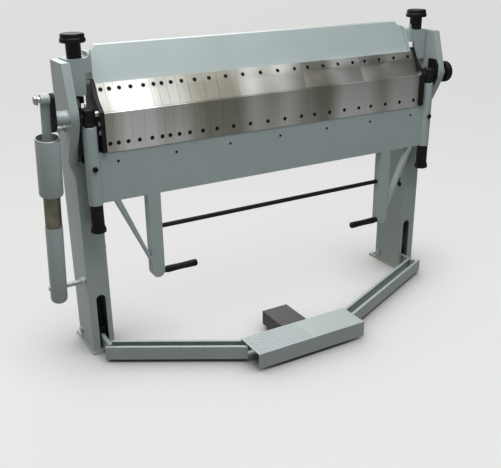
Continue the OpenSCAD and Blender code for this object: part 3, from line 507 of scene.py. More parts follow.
def plated(name, gloss):
    """Bright plate on steel, dulled by finger marks."""
    made = Finish(name, Metallic=1.0)
    marks = made.noise(70.0, 4.0, roughness=0.6)
    made.feed(Base_Color=made.mixed(PLATE_BRIGHT, PLATE_MARKED, (marks * 1.2 - 0.4).held()),
              Roughness=(gloss + (marks - 0.4) * 0.25).held())
    return made.material


chrome = plated("chrome_plate", 0.36)
PLATE_BOLT_OUT = 0.6495
PLATE_BOLT_R = 0.007
PLATE_BOLT_HEAD = 0.005
PLATE_BOLT_WASHER = 0.0012
PLATE_BOLTS_YZ = ((0.1085, 0.934), (0.0415, 0.820), (0.0415, 0.792))
heads = []
for side in (-1, 1):
    for y, z in PLATE_BOLTS_YZ:
        spot = lying(MIDDLE_X + side * PLATE_BOLT_OUT, y, z, side)
        heads.append(hexagon("plate_bolt", PLATE_BOLT_R, PLATE_BOLT_HEAD, spot,
                             chrome, "frame", PLATE_BOLT_WASHER))
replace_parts(joined("plate_bolts_made", heads), "plate_bolts")


def round_bar(radius, low, high):
    """The rings of a plain round bar."""
    return [(0, low), (radius, low), (radius, high), (0, high)]


STOP_Y, STOP_Z = 0.0915, 0.808
STOP_STEM_R = 0.006
STOP_STEM = 0.016
STOP_HEX_R = 0.010
STOP_HEAD = 0.012
STOP_NUT = 0.007
STOP_NUT_GAP = 0.0002
stop = turn("stop_stem", round_bar(STOP_STEM_R, 0, STOP_STEM),
            lying(CHEEK_X[-1], STOP_Y, STOP_Z, -1), chrome, body="frame")
stop_head = hexagon("stop_head", STOP_HEX_R, STOP_HEAD,
                    lying(CHEEK_X[-1] - STOP_STEM, STOP_Y, STOP_Z, -1),
                    chrome, "frame")
stop_nut = hexagon("stop_nut", STOP_HEX_R, STOP_NUT,
                   lying(CHEEK_X[-1] - STOP_NUT_GAP, STOP_Y, STOP_Z, -1),
                   chrome, "frame")
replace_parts(joined("apron_stop_bolt_made", [stop, stop_head, stop_nut]), "apron_stop_bolt")

# Pivot blocks, shafts and spindles
# A black turned block on each shaft carries the screwed spindle that hangs down into the apron.
# The blocks have a groove above their foot and a chamfered top with a centre mark.
SHAFT_EDGE = 0.0009
for node in ("pivot_shaft_left", "pivot_shaft_right"):
    eased(node, SHAFT_EDGE, ground_steel)
worn("adjuster_spindles", ground_steel)
SPINDLE_X = {"left": axis_of("adjuster_left")[0], "right": axis_of("adjuster_right")[0]}
SPINDLE_HOLE_R = 0.0083
BLOCK_R = 0.0225
BLOCK_FOOT, BLOCK_TOP = -0.031, 0.020
BLOCK_FOOT_EDGE = 0.0020
BLOCK_TOP_EDGE = 0.0035
BLOCK_GROOVE = (-0.0235, -0.0205, 0.0006)
MARK_R = 0.0075
MARK_EDGE = 0.0010
MARK_DEPTH = 0.0015
for end, x in SPINDLE_X.items():
    node = "pivot_block_" + end
    turn(node + "_made", [
        (SPINDLE_HOLE_R, BLOCK_FOOT), (BLOCK_R - BLOCK_FOOT_EDGE, BLOCK_FOOT),
        (BLOCK_R, BLOCK_FOOT + BLOCK_FOOT_EDGE), *groove(BLOCK_R, *BLOCK_GROOVE),
        (BLOCK_R, BLOCK_TOP - BLOCK_TOP_EDGE), (BLOCK_R - BLOCK_TOP_EDGE, BLOCK_TOP),
        (MARK_R + MARK_EDGE, BLOCK_TOP), (MARK_R, BLOCK_TOP - MARK_DEPTH),
        (0, BLOCK_TOP - MARK_DEPTH)],
        standing(x, PIVOT_Y, PIVOT_Z), black_oxide, [node])

# Apron
# A steel plate behind the fingers with a thicker painted face below them; it folds the sheet.
# Tubes welded to its ends slide along the spindles, each locked by a black screw in front.
APRON_EDGE = 0.0010
eased("apron_plate", APRON_EDGE, satin_paint)

TUBE_R = 0.0225
TUBE_BORE_R = 0.0140
TUBE_EDGE = 0.0013
TUBE_BORE_EDGE = 0.0006
TUBE_FOOT, TUBE_TOP = -0.286, -0.036
LOCK_R = 0.0086
LOCK_RIDGE = 0.0003
LOCK_RIDGES = 24
LOCK_FOOT_R = 0.0070
LOCK_FACE_R = 0.0078
LOCK_TOP = 0.0068
LOCK_EDGE = 0.0010
LOCK_KEY = 0.0036
LOCK_KEY_EDGE = 0.0012
LOCK_KEY_TOP = 0.0066
LOCK_KEY_FLOOR = 0.0030
LOCK_KEY_TIP = 0.0026
LOCK_SUNK = 0.0003
LOCK_Z = 0.685


def knurl(angle):
    """The radius of a lock screw's knurled head."""
    return LOCK_R + LOCK_RIDGE * math.cos(LOCK_RIDGES * angle)


def hexagonal(key):
    """The radius of a hexagon socket whose flats lie a key's half width from its middle."""
    sixth = math.pi / 3
    return lambda angle: key / math.cos((angle + sixth / 2) % sixth - sixth / 2)


def facing(x, y, z):
    """A place whose local Z points to the front."""
    return standing(x, y, z) @ Matrix.Rotation(math.pi / 2, 4, "X")


lock_socket = hexagonal(LOCK_KEY)
for end, x in SPINDLE_X.items():
    node = "apron_tube_" + end
    turn(node + "_made", [
        (TUBE_BORE_R, TUBE_FOOT), (TUBE_R - TUBE_EDGE, TUBE_FOOT),
        (TUBE_R, TUBE_FOOT + TUBE_EDGE), (TUBE_R, TUBE_TOP - TUBE_EDGE),
        (TUBE_R - TUBE_EDGE, TUBE_TOP), (TUBE_BORE_R + TUBE_BORE_EDGE, TUBE_TOP),
        (TUBE_BORE_R, TUBE_TOP - TUBE_BORE_EDGE), (TUBE_BORE_R, TUBE_FOOT)],
        standing(x, PIVOT_Y, PIVOT_Z), satin_paint, [node], segments=96)
    turn(node + "_lock", [
        (0, 0), (LOCK_FOOT_R, 0), (knurl, LOCK_EDGE), (knurl, LOCK_TOP - LOCK_EDGE),
        (LOCK_FACE_R, LOCK_TOP), (LOCK_KEY + LOCK_KEY_EDGE, LOCK_TOP),
        (lock_socket, LOCK_KEY_TOP), (lock_socket, LOCK_KEY_FLOOR), (0, LOCK_KEY_TIP)],
        facing(x, PIVOT_Y - TUBE_R + LOCK_SUNK, LOCK_Z), black_oxide,
        body="apron", segments=48)

# Apron fingers
# Hardened and ground bars, fifteen in a row, screwed to the front of the apron.
# Their upper edges lie on the pivot line, and the joints between them are open by a hair.
FINGER_EDGE = 0.0007
eased("apron_fingers", FINGER_EDGE, ground_steel)

# Finger screws and set screws
# Black socket head screws, one in each narrow finger and four in each wide one, and seven
# small set screws in the apron's painted face.
WORK_W = 1.270
FINGER_SHARES = (5, 6, 7, 8, 9, 5, 6, 7, 8, 11, 10, 15, 53, 51, 53)
WIDE_FROM_SHARE = 20
WIDE_MARGIN = 0.028
WIDE_SCREWS = 4
screw_line = []
edge_x = MIDDLE_X - WORK_W / 2
for share in FINGER_SHARES:
    wide = WORK_W * share / sum(FINGER_SHARES)
    if share < WIDE_FROM_SHARE:
        screw_line.append(edge_x + wide / 2)
    else:
        pitch = (wide - 2 * WIDE_MARGIN) / (WIDE_SCREWS - 1)
        screw_line += [edge_x + WIDE_MARGIN + pitch * n for n in range(WIDE_SCREWS)]
    edge_x += wide

SCREW_EDGE = 0.0006
SOCKET_EDGE = 0.0003
SOCKET_RIM_SHARE = 1.35
SOCKET_DEPTH_SHARE = 0.55
SOCKET_TIP_SHARE = 0.6


def screw_mesh(radius, depth, key):
    """One socket head, its face at zero, sunk along local Z."""
    socket = hexagonal(key)
    return turn("screw_form", [
        (0, -depth), (radius, -depth), (radius, -SCREW_EDGE), (radius - SCREW_EDGE, 0),
        (key * SOCKET_RIM_SHARE, 0), (socket, -SOCKET_EDGE),
        (socket, -depth * SOCKET_DEPTH_SHARE), (0, -depth * SOCKET_TIP_SHARE)],
        standing(0, 0, 0), black_oxide, body="apron", segments=24)


class Layout(Board):
    """A Geometry Nodes tree with named inputs, which sets one form on many points."""

    def __init__(self, name, points, **inputs):
        self.piece = placed(name, points)
        super().__init__(bpy.data.node_groups.new(name + "_tree", "GeometryNodeTree"))
        self.socket("Geometry", "INPUT", "Geometry")
        self.values = {self.socket(label, "INPUT", kind).identifier: value
                       for label, (kind, value) in inputs.items()}
        self.socket("Geometry", "OUTPUT", "Geometry")
        self.entry = self.node("NodeGroupInput")

    def socket(self, label, side, kind):
        """An input or an output of the whole tree."""
        return self.tree.interface.new_socket(label, in_out=side,
                                              socket_type="NodeSocket" + kind)

    def given(self, label):
        """The value that comes in by a named input."""
        return self.out(self.entry, label)

    def finished(self, copies, finish):
        """Makes the copies real, gives them their finish, and returns a plain piece."""
        real = self.node("GeometryNodeRealizeInstances", {}, {"Geometry": copies})
        dressed = self.node("GeometryNodeSetMaterial", {}, {
            "Geometry": self.out(real, "Geometry"), "Material": finish})
        self.node("NodeGroupOutput", {}, {"Geometry": self.out(dressed, "Geometry")})
        growth = self.piece.modifiers.new("layout", "NODES")
        growth.node_group = self.tree
        for identifier, value in self.values.items():
            growth[identifier] = value
        return plain(self.piece)


def rows_of(name, form, spots, turned, finish):
    """Geometry nodes set one screw on each spot, all turned the same way."""
    points = bpy.data.meshes.new(name)
    points.from_pydata(spots, [], [])
    row = Layout(name, points, Form=("Object", form), Turn=("Vector", turned),
                 Size=("Float", 1.0))
    form_mesh = row.node("GeometryNodeObjectInfo", {}, {"Object": row.given("Form")})
    screws = row.node("GeometryNodeInstanceOnPoints", {}, {
        "Points": row.given("Geometry"), "Instance": row.out(form_mesh, "Geometry"),
        "Rotation": row.given("Turn"), "Scale": row.given("Size")})
    return row.finished(row.out(screws, "Instances"), finish)


FINGER_SCREW_R = 0.0070
FINGER_SCREW_DEPTH = 0.0050
FINGER_SCREW_KEY = 0.0032
FINGER_SCREW_FORWARD = 0.0094
FINGER_SCREW_DROP = 0.095
SET_SCREW_R = 0.0050
SET_SCREW_DEPTH = 0.0048
SET_SCREW_KEY = 0.0022
SET_SCREWS = 7
SET_SCREW_PITCH = 0.2
SET_SCREW_FORWARD = 0.0070
SET_SCREW_DROP = 0.154
TO_FRONT = math.pi / 2
finger_screw = screw_mesh(FINGER_SCREW_R, FINGER_SCREW_DEPTH, FINGER_SCREW_KEY)
apron_row = rows_of("apron_screws_made", finger_screw,
                    [(x, PIVOT_Y - FINGER_SCREW_FORWARD, PIVOT_Z - FINGER_SCREW_DROP)
                     for x in screw_line],
                    (TO_FRONT, 0, 0), black_oxide)
shown(apron_row, black_oxide, ["apron_finger_screws"])
set_screw = screw_mesh(SET_SCREW_R, SET_SCREW_DEPTH, SET_SCREW_KEY)
set_row = rows_of("apron_set_screws_made", set_screw,
                  [(MIDDLE_X + SET_SCREW_PITCH * (n - SET_SCREWS // 2),
                    PIVOT_Y - SET_SCREW_FORWARD, PIVOT_Z - SET_SCREW_DROP)
                   for n in range(SET_SCREWS)],
                  (TO_FRONT, 0, 0), black_oxide)
shown(set_row, black_oxide, ["apron_set_screws"])

LEAN = math.radians(28)
SLOPE_BACK = 0.0048
SLOPE_LIFT = 0.0003
SLOPE_UP = 0.073
HEAD_SUNK = 0.0006
slope = standing(0, PIVOT_Y + SLOPE_BACK, PIVOT_Z + SLOPE_LIFT) @ Matrix.Rotation(
    -LEAN, 4, "X")
clamp_row = rows_of("clamp_screws_made", finger_screw,
                    [tuple(slope @ Vector((x, HEAD_SUNK, SLOPE_UP))) for x in screw_line],
                    (TO_FRONT - LEAN, 0, 0), black_oxide)
shown(clamp_row, black_oxide, ["clamp_finger_screws"])
for form in (finger_screw, set_screw):
    bpy.data.objects.remove(form)

# Handles, grips and crossbar
# Hanging bars of folded plate, each with a brace to the apron, painted like it.
# Black moulded grips point inwards at their feet, and a round black bar joins them.
HANDLE_EDGE = 0.0012
for handle in ("handle_left", "handle_right"):
    eased(handle, HANDLE_EDGE, satin_paint)

PLASTIC_BLACK = (0.005, 0.005, 0.0055)
PLASTIC_WORN = (0.018, 0.018, 0.019)
PLASTIC_GRAIN = 0.0004


def moulded(name, gloss):
    """Moulded black plastic: fine grain, paler and duller where hands wear it."""
    made = Finish(name, IOR=1.28)
    handled = made.noise(30.0, 4.0, roughness=0.6)
    made.feed(Base_Color=made.mixed(PLASTIC_BLACK, PLASTIC_WORN, (handled * 1.4 - 0.5).held()),
              Roughness=(gloss + (handled - 0.5) * 0.25).held(),
              Normal=made.bump(made.noise(1400.0, 2.0), 0.22, PLASTIC_GRAIN))
    return made.material


black_plastic = moulded("moulded_black", 0.40)
HANDLE_OUT = 0.465
GRIP_R = 0.0125
GRIP_LONG = 0.126
GRIP_BACK = 0.0045
GRIP_Z = 0.284
GRIP_WAIST = 0.0011
GRIP_STEPS = 12
COLLAR_R = 0.0105
COLLAR_LONG = 0.0095
SHOULDER = (0.0118, 0.0102)
SWELL_FROM, SWELL_LONG = 0.0125, 0.107
GRIP_END = ((0.0123, 0.1215), (0.0113, 0.1242), (0.0090, 0.1256), (0, GRIP_LONG))
for end, side in (("left", 1), ("right", -1)):
    node = "grip_" + end
    rings = [(0, 0), (COLLAR_R, 0), (COLLAR_R, COLLAR_LONG), SHOULDER, (GRIP_R, SWELL_FROM)]
    for step in range(1, GRIP_STEPS):
        along = step / GRIP_STEPS
        rings.append((GRIP_R - GRIP_WAIST * math.sin(math.pi * along) ** 2,
                      SWELL_FROM + SWELL_LONG * along))
    rings += GRIP_END
    turn(node + "_made", rings,
         lying(MIDDLE_X - side * HANDLE_OUT, PIVOT_Y + GRIP_BACK, GRIP_Z, side),
         black_plastic, [node])

CROSSBAR_R = 0.008
CROSSBAR_BACK = 0.015
CROSSBAR_Z = 0.443
turn("crossbar_made", round_bar(CROSSBAR_R, 0, 2 * HANDLE_OUT),
     lying(MIDDLE_X - HANDLE_OUT, PIVOT_Y + CROSSBAR_BACK, CROSSBAR_Z, 1),
     black_oxide, ["crossbar"])

# Height adjusting knobs
# Long black moulded nuts on the spindles; the apron's tubes rest on them.
# The wider foot is fluted for the hand, and the barrel above it has fine ridges.
NUT_R = 0.0210
NUT_FOOT_R = 0.0250
NUT_BORE_R = 0.0081
NUT_TALL = 0.0930
NUT_EDGE = 0.0014
NUT_BORE_EDGE = 0.0005
NUT_FLOOR = 0.0080
NUT_SHOULDER = ((0.0240, 0.0150), (0.0212, 0.0235))
NUT_GROOVE = (0.0720, 0.0751, 0.0007)
FLUTES_LOW, FLUTES_HIGH = 0.0024, 0.0130
FLUTE_DEPTH = 0.0014
FLUTES = 14
RIDGES_LOW, RIDGES_HIGH = 0.0262, 0.0600
RIDGE_END = 0.0012
RIDGE_DEPTH = 0.0005
RIDGES = 28


def fluted(radius, depth, count, sharpness):
    """A radius that dips into a flute a number of times on its way around."""
    return lambda angle: radius - depth * max(0.0, math.cos(count * angle)) ** sharpness


foot_flutes = fluted(NUT_FOOT_R, FLUTE_DEPTH, FLUTES, sharpness=3)
barrel_ridges = fluted(NUT_R, RIDGE_DEPTH, RIDGES, sharpness=2)
for end, x in SPINDLE_X.items():
    node = "adjuster_knob_" + end
    turn(node + "_made", [
        (0, 0), (NUT_R, 0), (foot_flutes, FLUTES_LOW), (foot_flutes, FLUTES_HIGH),
        *NUT_SHOULDER, (NUT_R, RIDGES_LOW - RIDGE_END),
        (barrel_ridges, RIDGES_LOW), (barrel_ridges, RIDGES_HIGH),
        (NUT_R, RIDGES_HIGH + RIDGE_END), *groove(NUT_R, *NUT_GROOVE),
        (NUT_R, NUT_TALL - NUT_EDGE), (NUT_R - NUT_EDGE, NUT_TALL),
        (NUT_BORE_R + NUT_BORE_EDGE, NUT_TALL), (NUT_BORE_R, NUT_TALL - NUT_BORE_EDGE),
        (NUT_BORE_R, NUT_FLOOR), (0, NUT_FLOOR)],
        standing(x, PIVOT_Y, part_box(node)[0].z), black_plastic, [node],
        segments=112)

# Clamp beam and its ears
# A leaning panel on a sole plate, closed by end cheeks and stiffened by ribs behind.
# The pull rods draw it down by the ears, brackets at its ends. All is welded and painted.
BEAM_EDGE = 0.0009
EAR_EDGE = 0.0012
eased("clamp_beam", BEAM_EDGE, satin_paint)
for ear in ("ear_left", "ear_right"):
    eased(ear, EAR_EDGE, satin_paint)

# Clamp fingers
# Hardened and ground fingers, screwed to the beam; narrow ones stand on the left.
# They can be taken off one by one to fold a box, so each joint is open by a hair.
for row in ("clamp_fingers_narrow", "clamp_finger_wide_left", "clamp_finger_wide_middle",
            "clamp_finger_wide_right"):
    eased(row, FINGER_EDGE, ground_steel)

# Pull rods and return springs
# Steel rods with a fork over the pedal lever, a collar on the spring and a nut under the ear.
# Plain steel tubes stand for the springs around the rods, inside the columns.
ROD_EDGE = 0.0006
for rod in ("pull_rod_left", "pull_rod_right"):
    eased(rod, ROD_EDGE, black_oxide)
worn("return_springs", ground_steel)

# Pressure knobs
# Large black moulded knobs, threaded on the ends of the pull rods, with a fluted rim and cap.
# Turning them sets how hard the treadle presses the beam on the sheet.
KNOB_HOLE_R = 0.0071
KNOB_NECK_R = 0.0230
KNOB_NECK_EDGE = 0.0015
KNOB_NECK_TALL = 0.0425
KNOB_GROOVE = (0.0060, 0.0088, 0.0006)
KNOB_RIM_R = 0.0395
KNOB_RIM_LOW, KNOB_RIM_HIGH = 0.0492, 0.0570
KNOB_CAP_R = 0.0365
KNOB_CAP_LOW, KNOB_CAP_HIGH = 0.0610, 0.0705
KNOB_FLUTES = 18
KNOB_RIM_FLUTE = 0.0016
KNOB_CAP_FLUTE = 0.0012
KNOB_UNDERSIDE = ((0.0245, 0.0450), (0.0345, 0.0458), (0.0375, 0.0468))
KNOB_STEP = (0.0380, 0.0592)
KNOB_DISH = ((0.0340, 0.0733), (0.0300, 0.0740), (0.0285, 0.0734), (0, 0.0730))
rim = fluted(KNOB_RIM_R, KNOB_RIM_FLUTE, KNOB_FLUTES, sharpness=4)
cap = fluted(KNOB_CAP_R, KNOB_CAP_FLUTE, KNOB_FLUTES, sharpness=4)
for end in ("left", "right"):
    node = "pressure_knob_" + end
    x, y, _ = axis_of("pressure_" + end)
    turn(node + "_made", [
        (KNOB_HOLE_R, 0), (KNOB_NECK_R - KNOB_NECK_EDGE, 0), (KNOB_NECK_R, KNOB_NECK_EDGE),
        *groove(KNOB_NECK_R, *KNOB_GROOVE), (KNOB_NECK_R, KNOB_NECK_TALL), *KNOB_UNDERSIDE,
        (rim, KNOB_RIM_LOW), (rim, KNOB_RIM_HIGH), KNOB_STEP, (cap, KNOB_CAP_LOW),
        (cap, KNOB_CAP_HIGH), *KNOB_DISH],
        standing(x, y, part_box(node)[0].z), black_plastic, [node],
        segments=144)

# Crank, crank pin and strut stud
# A black crank on the left pivot shaft pushes the balance strut; its pin ends in a bright nut.
# The strut's foot turns on a plated stud screwed into the column.
CRANK_EDGE = 0.0011
eased("crank_arm", CRANK_EDGE, black_oxide)

CRANK_LEAN = math.radians(20)
CRANK_LONG = 0.07
PIN_Y = PIVOT_Y - CRANK_LONG * math.sin(CRANK_LEAN)
PIN_Z = PIVOT_Z + CRANK_LONG * math.cos(CRANK_LEAN)
PIN_FOOT_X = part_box("crank_pin")[1].x
PIN_R = 0.0080
PIN_LONG = 0.0587
PIN_EDGE_WIDE, PIN_EDGE_LONG = 0.0008, 0.0012
PIN_NUT_OUT = 0.0487
PIN_NUT_R = 0.013
PIN_NUT = 0.0095
PIN_WASHER = 0.0015
pin = turn("crank_pin_stem", [
    (0, 0), (PIN_R, 0), (PIN_R, PIN_LONG - PIN_EDGE_LONG),
    (PIN_R - PIN_EDGE_WIDE, PIN_LONG), (0, PIN_LONG)],
    lying(PIN_FOOT_X, PIN_Y, PIN_Z, -1), chrome, body="pivots")
pin_nut = hexagon("crank_pin_nut", PIN_NUT_R, PIN_NUT,
                  lying(PIN_FOOT_X - PIN_NUT_OUT, PIN_Y, PIN_Z, -1),
                  chrome, "pivots", PIN_WASHER)
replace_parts(joined("crank_pin_made", [pin, pin_nut]), "crank_pin")

STRUT_X, STUD_Y, STUD_Z = axis_of("strut_lower")
STUD_FOOT_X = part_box("strut_stud")[1].x
STUD_R = 0.0090
STUD_STEP_R = 0.0080
STUD_STEP = 0.0622
STUD_EDGE = 0.0010
STUD_LONG = 0.1215
STUD_NUT_R = 0.015
STUD_NUT = 0.016
STUD_WASHER = 0.002
stud_spot = lying(STUD_FOOT_X, STUD_Y, STUD_Z, -1)
stud = turn("strut_stud_stem", [
    (0, 0), (STUD_R, 0), (STUD_R, STUD_STEP), (STUD_STEP_R, STUD_STEP),
    (STUD_STEP_R, STUD_LONG - STUD_EDGE), (STUD_STEP_R - STUD_EDGE, STUD_LONG),
    (0, STUD_LONG)], stud_spot, chrome, body="frame")
stud_nut = hexagon("strut_stud_nut", STUD_NUT_R, STUD_NUT, stud_spot,
                   chrome, "frame", STUD_WASHER)
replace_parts(joined("strut_stud_made", [stud, stud_nut]), "strut_stud")

# Balance strut
# It carries part of the apron's weight: a painted bar from the crank pin dips into a sleeve,
# which sits on a bare tube with an oily, olive film, and on the painted tube at the foot.
STRUT_BAR_EDGE = 0.0010
eased("strut_bar", STRUT_BAR_EDGE, satin_paint)

STRUT_TILT = math.atan((STUD_Y - PIN_Y) / (PIN_Z - STUD_Z))
STRUT = standing(STRUT_X, STUD_Y, STUD_Z) @ Matrix.Rotation(STRUT_TILT, 4, "X")
FOOT_R = 0.0275
FOOT_LOW = -0.0558
FOOT_NOSE = ((0, FOOT_LOW), (0.0150, FOOT_LOW), (0.0205, -0.0542), (0.0245, -0.0505),
             (0.0268, -0.0460), (FOOT_R, -0.0410))
FOOT_SHOULDER = ((FOOT_R, 0.2307), (0.0268, 0.2320), (0.0255, 0.2322), (0, 0.2322))
turn("strut_foot_made", FOOT_NOSE + FOOT_SHOULDER, STRUT, satin_paint,
     body="strut", segments=96)

FILM_OLIVE = (0.105, 0.100, 0.070)
FILM_PALE = (0.30, 0.285, 0.215)
FILM_LINES = (60.0, 60.0, 1400.0)
FILM_GRAIN = 0.0002
film = Finish("oily_tube", Metallic=0.85)
film_cloud = film.noise(22.0, 4.0)
film_lines = film.noise(1.0, 2.0, film.stretched(FILM_LINES))
film.feed(Base_Color=film.mixed(FILM_OLIVE, FILM_PALE, (film_cloud * 1.4 - 0.3).held()),
          Roughness=(film_lines * 0.18 + film_cloud * 0.2 + 0.16).held(),
          Normal=film.bump(film_lines, 0.06, FILM_GRAIN))
BARE_R = 0.0260
BARE_LOW, BARE_HIGH = 0.2292, 0.3492
bare = turn("strut_tube_made", round_bar(BARE_R, BARE_LOW, BARE_HIGH), STRUT,
            film.material, body="strut", segments=96)
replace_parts(bare, "strut_tubes")

SLEEVE_R = 0.0370
SLEEVE_NECK_R = 0.0262
SLEEVE_BORE_R = 0.0335
SLEEVE_LOW, SLEEVE_HIGH = 0.3432, 0.5267
SLEEVE_FLOOR = 0.3494
SLEEVE_FOOT = ((0.0325, SLEEVE_LOW), (0.0355, 0.3447), (0.0368, 0.3477), (SLEEVE_R, 0.3512))
SLEEVE_EDGE_WIDE, SLEEVE_EDGE_LONG = 0.0004, 0.0010
RIM_BORE_R = 0.0334
RIM_LOW, RIM_HIGH = 0.5262, 0.5312
RIM_EDGE = 0.0008
turn("strut_sleeve_made", [
    (SLEEVE_NECK_R, SLEEVE_LOW), *SLEEVE_FOOT, (SLEEVE_R, SLEEVE_HIGH - SLEEVE_EDGE_LONG),
    (SLEEVE_R - SLEEVE_EDGE_WIDE, SLEEVE_HIGH), (SLEEVE_BORE_R, SLEEVE_HIGH),
    (SLEEVE_BORE_R, SLEEVE_FLOOR), (SLEEVE_NECK_R, SLEEVE_FLOOR),
    (SLEEVE_NECK_R, SLEEVE_LOW)], STRUT, satin_paint, ["strut_sleeve"], segments=96)
turn("strut_sleeve_rim", [
    (RIM_BORE_R, RIM_LOW), (SLEEVE_R, RIM_LOW), (SLEEVE_R, RIM_HIGH - RIM_EDGE),
    (SLEEVE_R - RIM_EDGE, RIM_HIGH), (RIM_BORE_R + RIM_EDGE, RIM_HIGH),
    (RIM_BORE_R, RIM_HIGH - RIM_EDGE), (RIM_BORE_R, RIM_LOW)],
    STRUT, chrome, body="strut", segments=96)

# Angle disc
# A fluted black moulded wheel on the right end of the pivot, with a sunk ring in its face.
# It sets the angle at which the apron stops.
DISC_R = 0.0400
DISC_HOLE_R = 0.0101
DISC_THICK = 0.0220
DISC_RIM_LOW, DISC_RIM_HIGH = 0.0050, 0.0180
DISC_FLUTE = 0.0015
DISC_FLUTES = 20
DISC_BACK = ((0.0320, 0), (0.0340, 0.0006), (0.0385, 0.0030))
DISC_FRONT = ((0.0385, 0.0205), (0.0368, 0.0216), (0.0300, DISC_THICK))
DISC_RING = ((0.0280, 0.0206), (0.0170, 0.0206), (0.0160, DISC_THICK))
disc_rim = fluted(DISC_R, DISC_FLUTE, DISC_FLUTES, sharpness=3)
turn("angle_disc_made", [
    (DISC_HOLE_R, 0), *DISC_BACK, (disc_rim, DISC_RIM_LOW), (disc_rim, DISC_RIM_HIGH),
    *DISC_FRONT, *DISC_RING, (DISC_HOLE_R, DISC_THICK), (DISC_HOLE_R, 0)],
    lying(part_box("angle_disc")[0].x, PIVOT_Y, PIVOT_Z, 1), black_plastic,
    ["angle_disc"], segments=160)

# Treadle, its arms and levers
# Folded channels run from the levers in the columns to the treadle in front, all painted.
# Raised lozenges on the treadle's left half keep the foot from slipping.
LEVER_EDGE = 0.0012
CHANNEL_EDGE = 0.0014
for node in ("pedal_lever_left", "pedal_lever_right"):
    eased(node, LEVER_EDGE, satin_paint)
for node in ("treadle_arm_left", "treadle_arm_right", "treadle"):
    eased(node, CHANNEL_EDGE, satin_paint)
worn("pedal_pivot_pins", chrome)

TREAD_COLUMNS = 17
TREAD_ROWS = 9
TREAD_PITCH = 0.0125
TREAD_MARGIN_X = 0.014
TREAD_MARGIN_Y = 0.013
LOZENGE = (0.0060, 0.0020, 0.0016)


def tread_pattern(name, corner, finish):
    """Geometry nodes lay lozenges on a grid, each turned against its neighbours."""
    grid = Layout(name, bpy.data.meshes.new(name), Columns=("Int", TREAD_COLUMNS),
                  Rows=("Int", TREAD_ROWS), Pitch=("Float", TREAD_PITCH),
                  Corner=("Vector", corner), Lozenge=("Vector", LOZENGE))
    index = grid.out(grid.node("GeometryNodeInputIndex"), "Index")
    across = index % grid.given("Columns")
    back = grid.sum("FLOOR", index / grid.given("Columns"))
    cell = grid.node("ShaderNodeCombineXYZ", {}, {"X": across, "Y": back})
    spot = grid.vector_sum("MULTIPLY_ADD", grid.out(cell, "Vector"), grid.given("Pitch"),
                           grid.given("Corner"))
    line = grid.node("GeometryNodeMeshLine", {}, {
        "Count": grid.given("Columns") * grid.given("Rows")})
    points = grid.node("GeometryNodeSetPosition", {}, {
        "Geometry": grid.out(line, "Mesh"), "Position": spot})
    slant = (across + back) % 2.0 * (math.pi / 2) + math.pi / 4
    turned = grid.node("ShaderNodeCombineXYZ", {}, {"Z": slant})
    ball = grid.node("GeometryNodeMeshUVSphere", {}, {
        "Segments": 8, "Rings": 6, "Radius": 1.0})
    lozenges = grid.node("GeometryNodeInstanceOnPoints", {}, {
        "Points": grid.out(points, "Geometry"), "Instance": grid.out(ball, "Mesh"),
        "Rotation": grid.out(turned, "Vector"), "Scale": grid.given("Lozenge")})
    return grid.finished(grid.out(lozenges, "Instances"), finish)


tread_low, tread_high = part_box("treadle")
tread_corner = (tread_low.x + TREAD_MARGIN_X, tread_low.y + TREAD_MARGIN_Y, tread_high.z)
tread = tread_pattern("treadle_lozenges", tread_corner, satin_paint)
shown(tread, satin_paint, [], "pedal")

# Heel box
# A short folded box on the treadle's rear wall, flush with its top.
# Dark enamel over the same sheet, with less dust on it than the pale paint has.
ENAMEL_DARK = (0.010, 0.010, 0.009)
ENAMEL_DARK_SHADE = (0.026, 0.025, 0.023)
dark_enamel = enamel("dark_enamel", ENAMEL_DARK, ENAMEL_DARK_SHADE, 0.40, 0.10)
eased("treadle_heel", CHANNEL_EDGE, dark_enamel)

# Floor, light and camera
# A wide pale studio floor, lit by its own glow, by two soft boxes and by the world around it.
# Ambient occlusion dims the glow near the machine as a painted shadow; mirrors see it fade to the
# right.
# The camera stands in front on the left and looks down a little.
FLOOR_HALF = 40
FLOOR_LIT = (0.24, 0.24, 0.24)
FLOOR_SEEN = (0.20, 0.20, 0.198)
FLOOR_GLOW = (0.57, 0.57, 0.56)
NO_GLOW = (0.0, 0.0, 0.0)
SHADOW_REACH = 0.30
MIRROR_END_X = 3.9
floor_mesh = bpy.data.meshes.new("studio_floor")
floor_mesh.from_pydata([(-FLOOR_HALF, -FLOOR_HALF, 0), (FLOOR_HALF, -FLOOR_HALF, 0),
                        (FLOOR_HALF, FLOOR_HALF, 0), (-FLOOR_HALF, FLOOR_HALF, 0)],
                       [], [(0, 1, 2, 3)])
floor = placed("studio_floor", floor_mesh)
pale = Finish("studio_floor_pale", Roughness=0.9, IOR=1.3, Emission_Strength=1.0)
rays = pale.node("ShaderNodeLightPath")
seen = (pale.out(rays, "Is Camera Ray") + pale.out(rays, "Is Transmission Ray")).held()
# Painted shadow: the floor's glow is dimmed where the machine is near.
painted_shadow_occlusion = pale.node("ShaderNodeAmbientOcclusion", {"samples": 12}, {"Distance": SHADOW_REACH})
painted_shadow_fade = ((pale.out(painted_shadow_occlusion, "AO") - 0.28) * 1.4).held()
fading = ((MIRROR_END_X - pale.part(pale.place, "X")) * 0.36).held()
mirrored = pale.out(rays, "Is Glossy Ray") * fading * 0.38
pale.feed(Base_Color=pale.mixed(FLOOR_LIT, FLOOR_SEEN, seen),
          Emission_Color=pale.mixed(NO_GLOW, FLOOR_GLOW, seen * painted_shadow_fade + mirrored))
floor_mesh.materials.append(pale.material)

